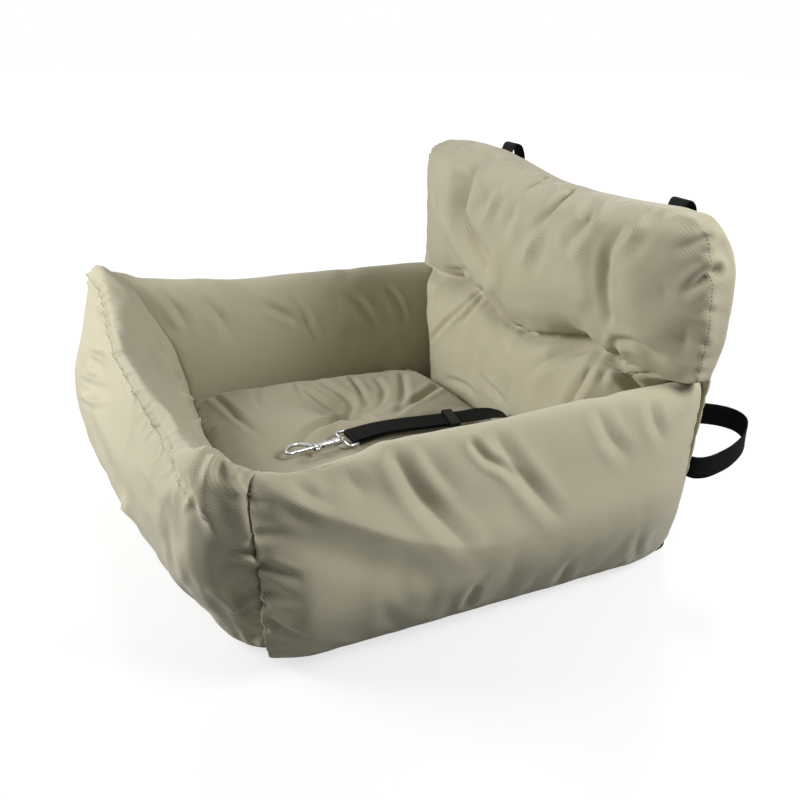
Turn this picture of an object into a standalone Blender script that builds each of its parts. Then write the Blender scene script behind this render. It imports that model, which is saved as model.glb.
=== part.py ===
"""Dog car bed: three stuffed bolsters round a tufted seat cushion, and a tufted backrest behind it.

Metres, +Z up. The dog steps in over the front bolster at -Y, the backrest stands at +Y, and the
origin is on the floor under the middle of the bed. A short leash comes up between the seat cushion
and the backrest and ends in a swivel bolt snap.
"""

import math

import bmesh
import bpy
from mathutils import Matrix, Vector

# Driving dimensions of the bed
BED_WIDTH = 0.600
BED_DEPTH = 0.505
WALL_HEIGHT = 0.203
WALL_THICKNESS = 0.100
WALL_FLARE = 0.028
FRONT_BOW = 0.0425
FRONT_BULGE = 0.026
BACKREST_HEIGHT = 0.374
BACKREST_WIDTH = 0.597
CREASE_HEIGHT = 0.205
FOLD_AXIS_Y = 0.209

# Layers of the bed's floor and back
BASE_THICKNESS = 0.0035
PAD_THICKNESS = 0.012
SEAT_TOP = 0.0815
SEAT_EDGE_TOP = 0.066
SEAT_EDGE_FOOT = 0.027
REAR_PANEL_THICKNESS = 0.006
PANEL_CORNER = 0.030

# Clearances between neighbours
TOUCH = 0.0003
SOFT_CLEARANCE = 0.0015
BACKREST_CLEARANCE = 0.0020
LOWER_SIDE_TOP = 0.96
LEASH_SLOT = 0.0034

# Soft forms
BOLSTER_DRAW_IN = 0.09
CORNER_LIFT = 0.022
CORNER_LIFT_FROM = 0.50
CORNER_PUSH = 0.010
CORNER_PUSH_FROM = 0.80
CROWN_LEAN = 0.009
FOOT_SPREAD = 0.018
SLUMP = 0.008
REAR_TUCK = 0.026
REAR_TUCK_FROM = 0.70
BASE_INSET = 0.012
BACKREST_GUSSET = 0.022
UPPER_CROWN = 0.055
UPPER_BACK_CROWN = 0.007
UPPER_LEAN = 0.014
UPPER_FOLD_ROOM = 1.25
UPPER_LEFT_INSET = 0.075
LOWER_CROWN = 0.046
TUFT_X = 0.132
TUFT_RADIUS = 0.030
TUFT_DEPTH = 0.012
SEAT_TUFT_X = 0.064
SEAT_TUFT_Y = -0.008
SEAT_TUFT_RADIUS = 0.034
SEAT_TUFT_DEPTH = 0.017
CLIP_HOLLOW = (0.043, -0.107)
CLIP_HOLLOW_RADIUS = 0.050
CLIP_HOLLOW_DEPTH = 0.010

# How the stuffed pieces bow, swell and sag: a place from -1 to 1 and a share of the named size
BOW_SHARES = (
    (-1.0, 0.0),
    (-0.93, 0.14),
    (-0.73, 0.31),
    (-0.48, 0.49),
    (-0.02, 0.835),
    (0.37, 1.0),
    (0.76, 0.975),
    (0.90, 0.85),
    (0.965, 0.47),
    (1.0, 0.0),
)
BULGE_SHARES = (
    (-1.0, 0.0),
    (-0.95, 0.69),
    (-0.85, 1.0),
    (-0.48, 0.98),
    (0.08, 0.75),
    (0.54, 0.58),
    (0.86, 0.31),
    (0.96, 0.12),
    (1.0, 0.0),
)
HEM_SHARES = (
    (-1.0, 0.0),
    (-0.85, 0.85),
    (-0.44, 1.38),
    (-0.14, 0.77),
    (0.12, 0.31),
    (0.33, -0.31),
    (0.54, -0.69),
    (0.74, -1.08),
    (0.90, -1.15),
    (1.0, 0.0),
)
SLUMP_SHARES = ((-1.0, -0.75), (-0.85, -1.0), (-0.4, -0.9), (0.0, -0.75), (0.4, -0.25), (0.6, 0.0), (1.0, 0.0))
PUSH_SHARES = ((0.0, 1.0), (0.30, 1.0), (0.49, 1.0), (0.67, 0.6), (0.85, -0.2), (1.01, -0.9))
TOP_EDGE_DROPS = (
    (-1.0, 0.039),
    (-0.92, 0.028),
    (-0.88, 0.014),
    (-0.74, -0.006),
    (-0.52, -0.011),
    (-0.23, -0.006),
    (0.08, 0.007),
    (0.34, 0.008),
    (0.61, 0.004),
    (0.81, 0.001),
    (0.93, 0.005),
    (0.975, 0.016),
    (1.0, 0.032),
)

# Webbing
WEBBING_WIDTH = 0.025
WEBBING_THICKNESS = 0.0018
PATCH_THICKNESS = 0.0015
PATCH_MARGIN = 0.004

# Leash: the middle of the webbing from the bed's floor, over the seat cushion, to the snap's eye
LEASH_ROUTE = (
    (0.0600, 0.1612, 0.0166),
    (0.0600, 0.1612, 0.0380),
    (0.0600, 0.1611, 0.0600),
    (0.0598, 0.1603, 0.0770),
    (0.0575, 0.1565, 0.0895),
    (0.0525, 0.1490, 0.0962),
    (0.0445, 0.1370, 0.0980),
    (0.0370, 0.1240, 0.0962),
    (0.0312, 0.1120, 0.0938),
    (0.0283, 0.1000, 0.0928),
    (0.0272, 0.0900, 0.0928),
    (0.0255, 0.0740, 0.0928),
    (0.0238, 0.0580, 0.0928),
    (0.0216, 0.0370, 0.0929),
    (0.0205, 0.0150, 0.0930),
    (0.0216, -0.0080, 0.0930),
)
LEASH_ROLL = math.radians(10)
LEASH_ROLL_FROM_Y = 0.150
LEASH_ROLL_TO_Y = 0.120
RETURN_DROP = 0.0029

# Adjuster on the leash
ADJUSTER_Y = 0.0900
ADJUSTER_SLOPE = 0.107
ADJUSTER_WIDTH = 0.0320
ADJUSTER_LENGTH = 0.0120
ADJUSTER_WINDOW = 0.0262
ADJUSTER_ROOM = 0.0032
ADJUSTER_TOP_BAR = 0.0016
ADJUSTER_TRAVEL = 0.016

# Swivel bolt snap, measured from the middle of its eye bar towards its tip
SNAP_PLACE = (0.0275, -0.0390, 0.0900)
SNAP_TURN = math.radians(10.7)
EYE_WIRE = 0.0017
EYE_LENGTH = 0.0130
EYE_SIDE_CLEARANCE = 0.0007
STEM_RADIUS = 0.0019
STEM_HEAD_RADIUS = 0.0031
STEM_HEAD_LENGTH = 0.0016
STEM_CLEARANCE = 0.0003
BARREL_RADIUS = 0.0047
BARREL_START = 0.0160
BARREL_END = 0.0262
SHANK_RADIUS = 0.0036
SHANK_END = 0.0525
BOLT_RADIUS = 0.0019
BOLT_BORE = 0.0023
BOLT_BORE_START = 0.0275
BOLT_TAIL = 0.0405
BOLT_TIP = 0.0755
BOLT_TRAVEL = 0.0075
KNOB_AT = 0.0495
KNOB_NECK = 0.0012
KNOB_RADIUS = 0.0030
KNOB_REACH = 0.0085
KNOB_HEAD = 0.0032
SLOT_WIDTH = 0.0031
HOOK_WIRE = 0.0022
HOOK_REACH = 0.0132
HOOK_TIP = 0.0846
SPRING_TURNS = 8
SPRING_RADIUS = 0.0016
SPRING_WIRE = 0.0002

# Loops on the back: sideways place of each, and their size
HEADREST_LOOPS = {"headrest_loop_left": -0.122, "headrest_loop_right": 0.198}
LOOP_FOOT = 0.040
LOOP_RISE = 0.014
LOOP_DEPTH = 0.021
BELT_ROUTE = (
    (0.2360, 0.0009, 0.0980),
    (0.2500, 0.0009, 0.0980),
    (0.2620, 0.0032, 0.0990),
    (0.2690, 0.0130, 0.1010),
    (0.2715, 0.0280, 0.1050),
    (0.2715, 0.0450, 0.1110),
    (0.2660, 0.0640, 0.1190),
    (0.2530, 0.0780, 0.1270),
    (0.2360, 0.0800, 0.1310),
    (0.2140, 0.0710, 0.1310),
    (0.1880, 0.0540, 0.1265),
    (0.1610, 0.0340, 0.1180),
    (0.1340, 0.0155, 0.1085),
    (0.1100, 0.0046, 0.1020),
    (0.0900, 0.0009, 0.0980),
    (0.0640, 0.0009, 0.0980),
)
BELT_PATCHES = {"belt_patch_near": 0.2390, "belt_patch_far": 0.0740}
BELT_PATCH_LENGTH = 0.024

# Zip of the cover, across the rear panel
ZIP_LENGTH = 0.340
ZIP_HEIGHT = 0.048
ZIP_TAPE_WIDTH = 0.028
ZIP_TAPE_THICKNESS = 0.0009
ZIP_TAPE_OVERHANG = 0.006
ZIP_CHAIN_WIDTH = 0.0058
ZIP_CHAIN_THICKNESS = 0.0022
ZIP_PITCH = 0.0068
SLIDER_LENGTH = 0.0120
SLIDER_WIDTH = 0.0106
SLIDER_PLATE = 0.0012
SLIDER_CLEARANCE = 0.0004
SLIDER_INSET = 0.010
ARCH_SPAN = 0.0090
ARCH_RISE = 0.0034
ARCH_WIRE = 0.0007
PULL_LENGTH = 0.026
PULL_WIDTH = 0.0080
PULL_THICKNESS = 0.0012
PULL_PIN = 0.0007

# Worked out from the sizes above
HALF_WIDTH = BED_WIDTH / 2
HALF_DEPTH = BED_DEPTH / 2
BOLSTER_FOOT = BASE_THICKNESS + TOUCH
PAD_FOOT = BASE_THICKNESS + TOUCH
PAD_TOP = PAD_FOOT + PAD_THICKNESS
SEAT_FOOT = PAD_TOP + TOUCH
REAR_PANEL_FRONT = HALF_DEPTH - REAR_PANEL_THICKNESS
BOLSTER_REAR = REAR_PANEL_FRONT - TOUCH
LEASH_Y = LEASH_ROUTE[0][1]
SEAT_REAR = LEASH_Y - LEASH_SLOT / 2
LOWER_FRONT = LEASH_Y + LEASH_SLOT / 2
UPPER_MIDDLE = FOLD_AXIS_Y + BACKREST_GUSSET / 2
ZIP_CHAIN_FOOT = HALF_DEPTH + TOUCH + ZIP_TAPE_THICKNESS + TOUCH
ZIP_CHAIN_TOP = ZIP_CHAIN_FOOT + ZIP_CHAIN_THICKNESS
SLIDER_X = ZIP_LENGTH / 2 - SLIDER_INSET
PLATE_FOOT = ZIP_CHAIN_TOP + SLIDER_CLEARANCE
PULL_Y = PLATE_FOOT + SLIDER_PLATE + (ARCH_RISE - ARCH_WIRE) / 2
SNAP_FRAME = (
    Matrix.Translation(SNAP_PLACE)
    @ Matrix.Rotation(SNAP_TURN, 4, "Z")
    @ Matrix.Rotation(LEASH_ROLL, 4, "Y")
)

# Colour, roughness and metallic value of each material
FINISHES = {
    "khaki_twill": ((0.44, 0.40, 0.30), 0.85, 0.0),
    "black_webbing": ((0.016, 0.016, 0.015), 0.75, 0.0),
    "black_underside": ((0.02, 0.02, 0.02), 0.8, 0.0),
    "chrome": ((0.78, 0.78, 0.80), 0.15, 1.0),
    "black_plastic": ((0.02, 0.02, 0.02), 0.45, 0.0),
    "spring_steel": ((0.55, 0.55, 0.56), 0.3, 1.0),
}


def clear_scene():
    """Removes every object that the file opened with."""
    for obj in list(bpy.data.objects):
        bpy.data.objects.remove(obj, do_unlink=True)


def finish(name, kind):
    """A new material of one of the bed's finishes."""
    colour, roughness, metallic = FINISHES[kind]
    material = bpy.data.materials.new(name)
    material.use_nodes = True
    shader = material.node_tree.nodes["Principled BSDF"]
    shader.inputs["Base Color"].default_value = (*colour, 1.0)
    shader.inputs["Roughness"].default_value = roughness
    shader.inputs["Metallic"].default_value = metallic
    return material


def add_object(name, bm, kind, helper=False):
    """Turns a bmesh into an object; a helper only shapes others and isn't a piece of the bed."""
    bmesh.ops.recalc_face_normals(bm, faces=bm.faces)
    mesh = bpy.data.meshes.new(name)
    bm.to_mesh(mesh)
    bm.free()
    mesh.shade_smooth()
    mesh.set_sharp_from_angle(angle=math.radians(40))
    obj = bpy.data.objects.new(name, mesh)
    bpy.context.scene.collection.objects.link(obj)
    if helper:
        obj.hide_render = True
        obj.display_type = "WIRE"
    else:
        mesh.materials.append(finish(name, kind))
    return obj


def combine(target, other, operation):
    """Joins a helper to the target or cuts it away."""
    modifier = target.modifiers.new(other.name, "BOOLEAN")
    modifier.operation = operation
    modifier.object = other
    modifier.solver = "EXACT"


def spline_point(p0, p1, p2, p3, t):
    """A point of the Catmull-Rom curve between p1 and p2."""
    return 0.5 * (
        2 * p1
        + (p2 - p0) * t
        + (2 * p0 - 5 * p1 + 4 * p2 - p3) * t**2
        + (3 * p1 - p0 - 3 * p2 + p3) * t**3
    )


def smooth_curve(points, steps, closed=False):
    """A smooth curve through the points, with so many steps to each span."""
    points = [Vector(point) for point in points]
    count = len(points)
    curve = []
    for i in range(count if closed else count - 1):
        around = [i - 1, i, i + 1, i + 2]
        if closed:
            around = [k % count for k in around]
        else:
            around = [min(max(k, 0), count - 1) for k in around]
        corners = [points[k] for k in around]
        curve += [spline_point(*corners, j / steps) for j in range(steps)]
    return curve if closed else curve + [points[-1]]


def loft(name, rings, kind, closed=False, helper=False):
    """A closed skin over rings of equal count, capped at both ends or run round into itself."""
    bm = bmesh.new()
    rows = [[bm.verts.new(point) for point in ring] for ring in rings]
    pairs = list(zip(rows, rows[1:]))
    if closed:
        pairs.append((rows[-1], rows[0]))
    for low, high in pairs:
        for k in range(len(low)):
            after = (k + 1) % len(low)
            bm.faces.new((low[k], low[after], high[after], high[k]))
    if not closed:
        bm.faces.new(rows[0])
        bm.faces.new(rows[-1])
    return add_object(name, bm, kind, helper)


def slab(name, outline, low, high, kind, axis="Z", helper=False):
    """A flat plate with the given outline between two levels of Z, or of Y."""
    if axis == "Z":
        rings = [[(a, b, level) for a, b in outline] for level in (low, high)]
    else:
        rings = [[(a, level, b) for a, b in outline] for level in (low, high)]
    return loft(name, rings, kind, helper=helper)


def cylinder(name, start, end, radius, sides, kind, helper=False):
    """A round bar between two points."""
    return tube(name, [Vector(start), Vector(end)], [radius, radius], sides, kind, helper=helper)


def tube(name, points, radii, sides, kind, closed=False, helper=False):
    """A round tube along a path, each ring square to the path and turned as little as may be."""
    count = len(points)
    rings = []
    across = None
    for i, point in enumerate(points):
        if closed:
            ahead = points[(i + 1) % count] - points[i - 1]
        else:
            ahead = points[min(i + 1, count - 1)] - points[max(i - 1, 0)]
        ahead.normalize()
        if across is None:
            across = ahead.orthogonal()
        across = (across - ahead * across.dot(ahead)).normalized()
        beside = ahead.cross(across)
        turns = [2 * math.pi * k / sides for k in range(sides)]
        rings.append([point + radii[i] * (math.cos(a) * across + math.sin(a) * beside) for a in turns])
    return loft(name, rings, kind, closed=closed, helper=helper)


def strap(name, centres, across, width, thickness, kind):
    """Flat webbing along a path; across gives the direction of its width at each point."""
    rings = []
    last = len(centres) - 1
    for i, centre in enumerate(centres):
        ahead = (centres[min(i + 1, last)] - centres[max(i - 1, 0)]).normalized()
        side = (across[i] - ahead * across[i].dot(ahead)).normalized() * width / 2
        up = ahead.cross(side).normalized() * thickness / 2
        rings.append([centre - side - up, centre + side - up, centre + side + up, centre - side + up])
    return loft(name, rings, kind)


def pad(name, columns, rows, front, back, kind):
    """A stuffed pad: a front and a back sheet, each a function of u and v in -1 to 1, and a gusset."""
    bm = bmesh.new()
    us = [math.sin(math.pi / 2 * (2 * i / (columns - 1) - 1)) for i in range(columns)]
    vs = [math.sin(math.pi / 2 * (2 * j / (rows - 1) - 1)) for j in range(rows)]
    sheets = []
    for sheet in (front, back):
        sheets.append([[bm.verts.new(sheet(u, v)) for u in us] for v in vs])
    for grid in sheets:
        for j in range(rows - 1):
            for i in range(columns - 1):
                bm.faces.new((grid[j][i], grid[j][i + 1], grid[j + 1][i + 1], grid[j + 1][i]))
    border = [(0, i) for i in range(columns)]
    border += [(j, columns - 1) for j in range(1, rows)]
    border += [(rows - 1, i) for i in range(columns - 2, -1, -1)]
    border += [(j, 0) for j in range(rows - 2, 0, -1)]
    for (j, i), (k, m) in zip(border, border[1:] + border[:1]):
        bm.faces.new((sheets[0][j][i], sheets[0][k][m], sheets[1][k][m], sheets[1][j][i]))
    return add_object(name, bm, kind)


def hollow(x, y, place, radius):
    """How far a point is into a round hollow: 1 at its middle, fading to 0."""
    away = math.hypot(x - place[0], y - place[1]) / radius
    return math.exp(-away * away)


def read_shares(table, place):
    """Reads a smooth curve through a table's points at a place, level beyond its ends."""
    if place <= table[0][0]:
        return table[0][1]
    if place >= table[-1][0]:
        return table[-1][1]
    k = max(i for i in range(len(table) - 1) if table[i][0] <= place)
    slopes = []
    for i in (k, k + 1):
        low, high = table[max(i - 1, 0)], table[min(i + 1, len(table) - 1)]
        slopes.append((high[1] - low[1]) / (high[0] - low[0]))
    (x0, y0), (x1, y1) = table[k], table[k + 1]
    h = x1 - x0
    t = (place - x0) / h
    rise = (2 * t**3 - 3 * t**2 + 1) * y0 + (3 * t**2 - 2 * t**3) * y1
    return rise + h * ((t**3 - 2 * t**2 + t) * slopes[0] + (t**3 - t**2) * slopes[1])


def ramp(value, start):
    """A smooth ramp from 0 at a start to 1 at 1."""
    share = min(max((value - start) / (1 - start), 0.0), 1.0)
    return share * share * (3 - 2 * share)


def front_bow(across):
    """How far the front bolster bows out at a share of the way from its middle to its corner."""
    return FRONT_BOW * read_shares(BOW_SHARES, across)


def front_bulge(across, depth, height):
    """How far the front bolster's outer face swells out further, and its hem spreads or tucks in."""
    outer = min(max(1 - depth / WALL_THICKNESS, 0.0), 1.0)
    level = min(height / WALL_HEIGHT, 1.0)
    belly = read_shares(BULGE_SHARES, across) * math.sin(math.pi * level) ** 0.9
    hem = read_shares(HEM_SHARES, across) * (1 - level) ** 3
    return FRONT_BULGE * (belly + hem) * outer**1.5


def rear_tuck(along, depth):
    """How far a side bolster's outer face turns in towards the rear panel."""
    share = max(0.0, (along - REAR_TUCK_FROM) / (1 - REAR_TUCK_FROM))
    return REAR_TUCK * share**2 * max(0.0, 1 - 2 * depth / WALL_THICKNESS)


def inner_depth(height):
    """How far a bolster's inner face is from its fullest outer point, at a share of its height."""
    shares = ((0.0, 0.97), (0.2, 1.0), (0.42, 0.95), (0.7, 0.8), (0.93, 0.56), (1.0, 0.30))
    for (low, near), (high, far) in zip(shares, shares[1:]):
        if height <= high:
            return WALL_THICKNESS * (near + (far - near) * (height - low) / (high - low))
    return WALL_THICKNESS * shares[-1][1]


def bolster_section():
    """A bolster's section as depths from its fullest outer point, with heights above the floor."""
    corners = [
        (WALL_FLARE, BOLSTER_FOOT),
        (0.42 * WALL_FLARE, 0.17 * WALL_HEIGHT),
        (0.0, 0.5 * WALL_HEIGHT),
        (0.0, 0.80 * WALL_HEIGHT),
        (0.05 * WALL_THICKNESS, 0.985 * WALL_HEIGHT),
        (0.30 * WALL_THICKNESS, WALL_HEIGHT),
    ]
    for height in (0.93, 0.70, 0.42, 0.20):
        corners.append((inner_depth(height), height * WALL_HEIGHT))
    corners.append((inner_depth(0.0), BOLSTER_FOOT))
    section = smooth_curve([(depth, height, 0) for depth, height in corners], 2, closed=True)
    return [(point.x, max(point.y, BOLSTER_FOOT)) for point in section]


def drawn_in(section, along, mitred, slumped=False):
    """The section at a place from -1 to 1 along the bolster.

    It is thinner at its ends, peaked and pushed in below where it is mitred, and sags where it is slumped.
    """
    shrink = 1 - BOLSTER_DRAW_IN * along**6
    middle = WALL_THICKNESS / 3
    peak = CORNER_LIFT * ramp(abs(along), CORNER_LIFT_FROM) if mitred and not slumped else 0.0
    sag = SLUMP * read_shares(SLUMP_SHARES, along) if slumped else 0.0
    push = CORNER_PUSH * ramp(abs(along), CORNER_PUSH_FROM) if mitred else 0.0
    front = (1 - along) / 2
    ring = []
    for depth, height in section:
        level = height / WALL_HEIGHT
        shift = push * read_shares(PUSH_SHARES, level)
        if slumped:
            shift -= (CROWN_LEAN - 0.9 * push) * min(1.0, max(0.0, (level - 0.6) / 0.4))
            shift -= FOOT_SPREAD * front * max(0.0, 1 - level / 0.49) ** 1.5
        near = middle + (depth - middle) * shrink
        near += shift * math.exp(-((max(near, 0.0) / (0.6 * WALL_THICKNESS)) ** 2))
        ring.append((near, max(height + (peak + sag) * min(level, 1.0) ** 3, BOLSTER_FOOT)))
    return ring


def places_along(count):
    """Places from -1 to 1, closer together near the ends."""
    return [math.sin(math.pi / 2 * (2 * k / (count - 1) - 1)) for k in range(count)]


def make_front_bolster(section):
    """The front bolster, bowed forwards, with its ends mitred to the side bolsters."""
    rings = []
    for along in places_along(19):
        ring = []
        for depth, height in drawn_in(section, along, True):
            x = along * (HALF_WIDTH - depth - TOUCH)
            out = front_bow(along) + front_bulge(along, depth, height)
            ring.append((x, -(HALF_DEPTH - depth + out), height))
        rings.append(ring)
    return loft("front_bolster", rings, "khaki_twill")


def make_side_bolster(name, side, section):
    """A side bolster, mitred in front and square where it is sewn to the rear panel."""
    rings = []
    for along in places_along(19):
        ring = []
        for depth, height in drawn_in(section, along, along < 0, slumped=side > 0):
            front = -(HALF_DEPTH - depth - TOUCH)
            y = front + (BOLSTER_REAR - front) * (along + 1) / 2
            x = HALF_WIDTH - depth - rear_tuck(along, depth)
            ring.append((side * x, y, height))
        rings.append(ring)
    return loft(name, rings, "khaki_twill")


def fullest_depth():
    """How far into the bed a bolster reaches where it is thickest."""
    return max(depth for depth, height in bolster_section())


def make_base():
    """The black non-slip underside, inside the bolsters' outer feet."""
    half = HALF_WIDTH - WALL_FLARE - BASE_INSET
    rear = HALF_DEPTH - TOUCH
    front = HALF_DEPTH - WALL_FLARE - BASE_INSET
    outline = [(half * a, -(front + front_bow(a) + front_bulge(a, WALL_FLARE, 0.0))) for a in places_along(17)]
    for turn in range(7):
        angle = math.pi / 2 * turn / 6
        x = half - PANEL_CORNER * (1 - math.cos(angle))
        outline.append((x, rear - PANEL_CORNER * (1 - math.sin(angle))))
    for turn in range(6, -1, -1):
        angle = math.pi / 2 * turn / 6
        x = half - PANEL_CORNER * (1 - math.cos(angle))
        outline.append((-x, rear - PANEL_CORNER * (1 - math.sin(angle))))
    return slab("nonslip_base", outline, 0.0, BASE_THICKNESS, "black_underside")


def well_front(x, fullest):
    """The front edge of the well at x, where the bolster reaches its fullest, less a clearance."""
    across = min(max(x / (HALF_WIDTH - fullest), -1.0), 1.0)
    return -(HALF_DEPTH - fullest + front_bow(across)) + SOFT_CLEARANCE


def make_base_pad():
    """The thin wadded pad that floors the well and carries the seat cushion and the backrest."""
    fullest = fullest_depth()
    half = HALF_WIDTH - fullest - SOFT_CLEARANCE
    rear = REAR_PANEL_FRONT - TOUCH
    outline = [(half * a, well_front(half * a, fullest)) for a in places_along(15)]
    outline += [(half, rear), (-half, rear)]
    return slab("base_pad", outline, PAD_FOOT, PAD_TOP, "khaki_twill")


def seat_place(u, v):
    """Where a point of the seat cushion's plan lies, its corners a little rounded."""
    fullest = fullest_depth()
    x = u * (HALF_WIDTH - fullest - SOFT_CLEARANCE) * (1 - 0.025 * v**8)
    front = well_front(x, fullest)
    middle = (SEAT_REAR + front) / 2
    return x, middle + v * (SEAT_REAR - front) / 2 * (1 - 0.02 * u**8)


def seat_top(u, v):
    """The seat cushion's crowned top, pulled down at its two sewn tufts and under the clip."""
    x, y = seat_place(u, v)
    crown = (1 - abs(u) ** 7) * (1 - abs(v) ** 7)
    z = SEAT_EDGE_TOP + (SEAT_TOP - SEAT_EDGE_TOP) * crown
    for tuft in (-SEAT_TUFT_X, SEAT_TUFT_X):
        z -= SEAT_TUFT_DEPTH * hollow(x, y, (tuft, SEAT_TUFT_Y), SEAT_TUFT_RADIUS) * crown
    z -= CLIP_HOLLOW_DEPTH * hollow(x, y, CLIP_HOLLOW, CLIP_HOLLOW_RADIUS) * crown
    return x, y, z


def seat_bottom(u, v):
    """The seat cushion's underside, flat but for its turned-up rim."""
    x, y = seat_place(u, v)
    rim = max(abs(u), abs(v)) ** 12
    return x, y, SEAT_FOOT + (SEAT_EDGE_FOOT - SEAT_FOOT) * rim


def section_depth(height):
    """How far a bolster's inner face is from its fullest outer point at a height."""
    section = bolster_section()
    depths = []
    for (depth, low), (other, high) in zip(section, section[1:] + section[:1]):
        if min(low, high) <= height <= max(low, high) and low != high:
            depths.append(depth + (other - depth) * (height - low) / (high - low))
    return max(depths)


def well_side(height):
    """Half the width of the well at a height, less a clearance for the backrest."""
    height = min(height, LOWER_SIDE_TOP * WALL_HEIGHT)
    return HALF_WIDTH - section_depth(height) - BACKREST_CLEARANCE


def lower_place(u, v):
    """A point of the backrest's lower half seen from the front: its side follows the bolsters."""
    z = PAD_TOP + TOUCH + (CREASE_HEIGHT - 2 * TOUCH - PAD_TOP) * (v + 1) / 2
    return u * well_side(z), z


def lower_front(u, v):
    """The lower half's swelling face, drawn back to the crease at its top."""
    x, z = lower_place(u, v)
    below = (CREASE_HEIGHT - z) / LOWER_CROWN
    swell = math.sin(math.pi / 2 * min(1.0, below)) * (1 - 0.25 * u**6)
    for tuft in (-TUFT_X, TUFT_X):
        swell -= 0.3 * hollow(x, z, (tuft, CREASE_HEIGHT), TUFT_RADIUS)
    return x, FOLD_AXIS_Y - (FOLD_AXIS_Y - LOWER_FRONT) * max(swell, 0.0), z


def lower_back(u, v):
    """The lower half's flat back, against the rear panel."""
    x, z = lower_place(u, v)
    return x, REAR_PANEL_FRONT - TOUCH, z


def upper_place(u, v):
    """A point of the backrest's upper half seen from the front, with its rounded top corners."""
    rise = (v + 1) / 2
    top = BACKREST_HEIGHT - read_shares(TOP_EDGE_DROPS, u)
    z = CREASE_HEIGHT + TOUCH + rise * (top - CREASE_HEIGHT - TOUCH)
    x = u * BACKREST_WIDTH / 2 * (1 - 0.03 * rise**8 - 0.02 * (1 - rise) ** 6)
    return x * (1 - UPPER_LEFT_INSET * min(u, 0.0) ** 2), z, rise


def upper_swell(u, rise):
    """The share of its crown that the upper half's face has: steep above the crease, rounded at its top."""
    dome = (1 - abs(2 * rise**0.55 - 1) ** 2.5) ** 0.62
    across = 1 - abs(u) ** 2.4 if u < 0 else (1 - u**4.5) ** 0.8
    return dome * across


def upper_front(u, v):
    """The upper half's face, with the pull of its two tufts at the crease."""
    x, z, rise = upper_place(u, v)
    swell = UPPER_CROWN * upper_swell(u, rise)
    for tuft in (-TUFT_X, TUFT_X):
        pull = hollow(x, z, (tuft, CREASE_HEIGHT + TUFT_RADIUS), TUFT_RADIUS)
        swell -= TUFT_DEPTH * pull * upper_swell(u, rise)
    over = ramp(abs(u) + 0.25, 0.85)
    swell += over * (min(swell, UPPER_FOLD_ROOM * (z - CREASE_HEIGHT)) - swell)
    return x, UPPER_MIDDLE - BACKREST_GUSSET / 2 - UPPER_LEAN * rise - swell, z


def upper_back(u, v):
    """The upper half's back, nearly flat."""
    x, z, _ = upper_place(u, v)
    swell = UPPER_BACK_CROWN * (1 - u**6) * (1 - v**6)
    return x, UPPER_MIDDLE + BACKREST_GUSSET / 2 + swell, z


def make_rear_panel():
    """The padded panel behind the bed, with a flat rear face and rounded lower corners."""
    half = HALF_WIDTH - REAR_TUCK - TOUCH
    foot = BASE_THICKNESS + TOUCH
    top = CREASE_HEIGHT - TOUCH
    outline = []
    for turn in range(7):
        angle = math.pi / 2 * turn / 6
        x = half - PANEL_CORNER * (1 - math.sin(angle))
        outline.append((x, foot + PANEL_CORNER * (1 - math.cos(angle))))
    outline += [(half, top), (-half, top)]
    outline += [(-x, z) for x, z in outline[6::-1]]
    return slab("rear_panel", outline, REAR_PANEL_FRONT, HALF_DEPTH, "khaki_twill", axis="Y")


def make_soft_pieces():
    """The bolsters, the panels, the seat cushion and the backrest's two halves."""
    section = bolster_section()
    make_base()
    make_base_pad()
    make_front_bolster(section)
    make_side_bolster("left_bolster", -1, section)
    make_side_bolster("right_bolster", 1, section)
    make_rear_panel()
    pad("seat_cushion", 23, 19, seat_top, seat_bottom, "khaki_twill")
    pad("backrest_lower", 23, 13, lower_front, lower_back, "khaki_twill")
    upper = pad("backrest_upper", 29, 15, upper_front, upper_back, "khaki_twill")
    move_origin(upper, (0.0, FOLD_AXIS_Y, CREASE_HEIGHT))
    return upper


def move_origin(obj, place):
    """Puts an object's origin at a place without moving its shape."""
    obj.data.transform(Matrix.Translation(-Vector(place)))
    obj.location = place


def carry(parent, child):
    """Parents a piece where it stands."""
    bpy.context.view_layer.update()
    child.parent = parent
    child.matrix_parent_inverse = parent.matrix_world.inverted()


def make_headrest_loop(name, x, upper):
    """A webbing loop on the backrest's top edge: both ends lie flat on the back of the upper half."""
    face = UPPER_MIDDLE + BACKREST_GUSSET / 2 + UPPER_BACK_CROWN + TOUCH
    inner = face + WEBBING_THICKNESS / 2
    outer = inner + WEBBING_THICKNESS + TOUCH
    foot = BACKREST_HEIGHT - LOOP_FOOT
    top = BACKREST_HEIGHT + LOOP_RISE
    route = [
        (x, inner, foot),
        (x, inner, foot + 0.45 * LOOP_FOOT),
        (x, inner, BACKREST_HEIGHT),
        (x, inner + 0.28 * LOOP_DEPTH, top),
        (x, inner + 0.80 * LOOP_DEPTH, top - 0.3 * LOOP_RISE),
        (x, inner + LOOP_DEPTH, BACKREST_HEIGHT - 0.8 * LOOP_RISE),
        (x, outer + 0.35 * LOOP_DEPTH, foot + 0.55 * LOOP_FOOT - 0.004),
        (x, outer, foot + 0.28 * LOOP_FOOT),
        (x, outer, foot),
    ]
    path = smooth_curve(route, 3)
    across = [Vector((1, 0, 0))] * len(path)
    loop = strap(name, path, across, WEBBING_WIDTH, WEBBING_THICKNESS, "black_webbing")
    carry(upper, loop)


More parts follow.
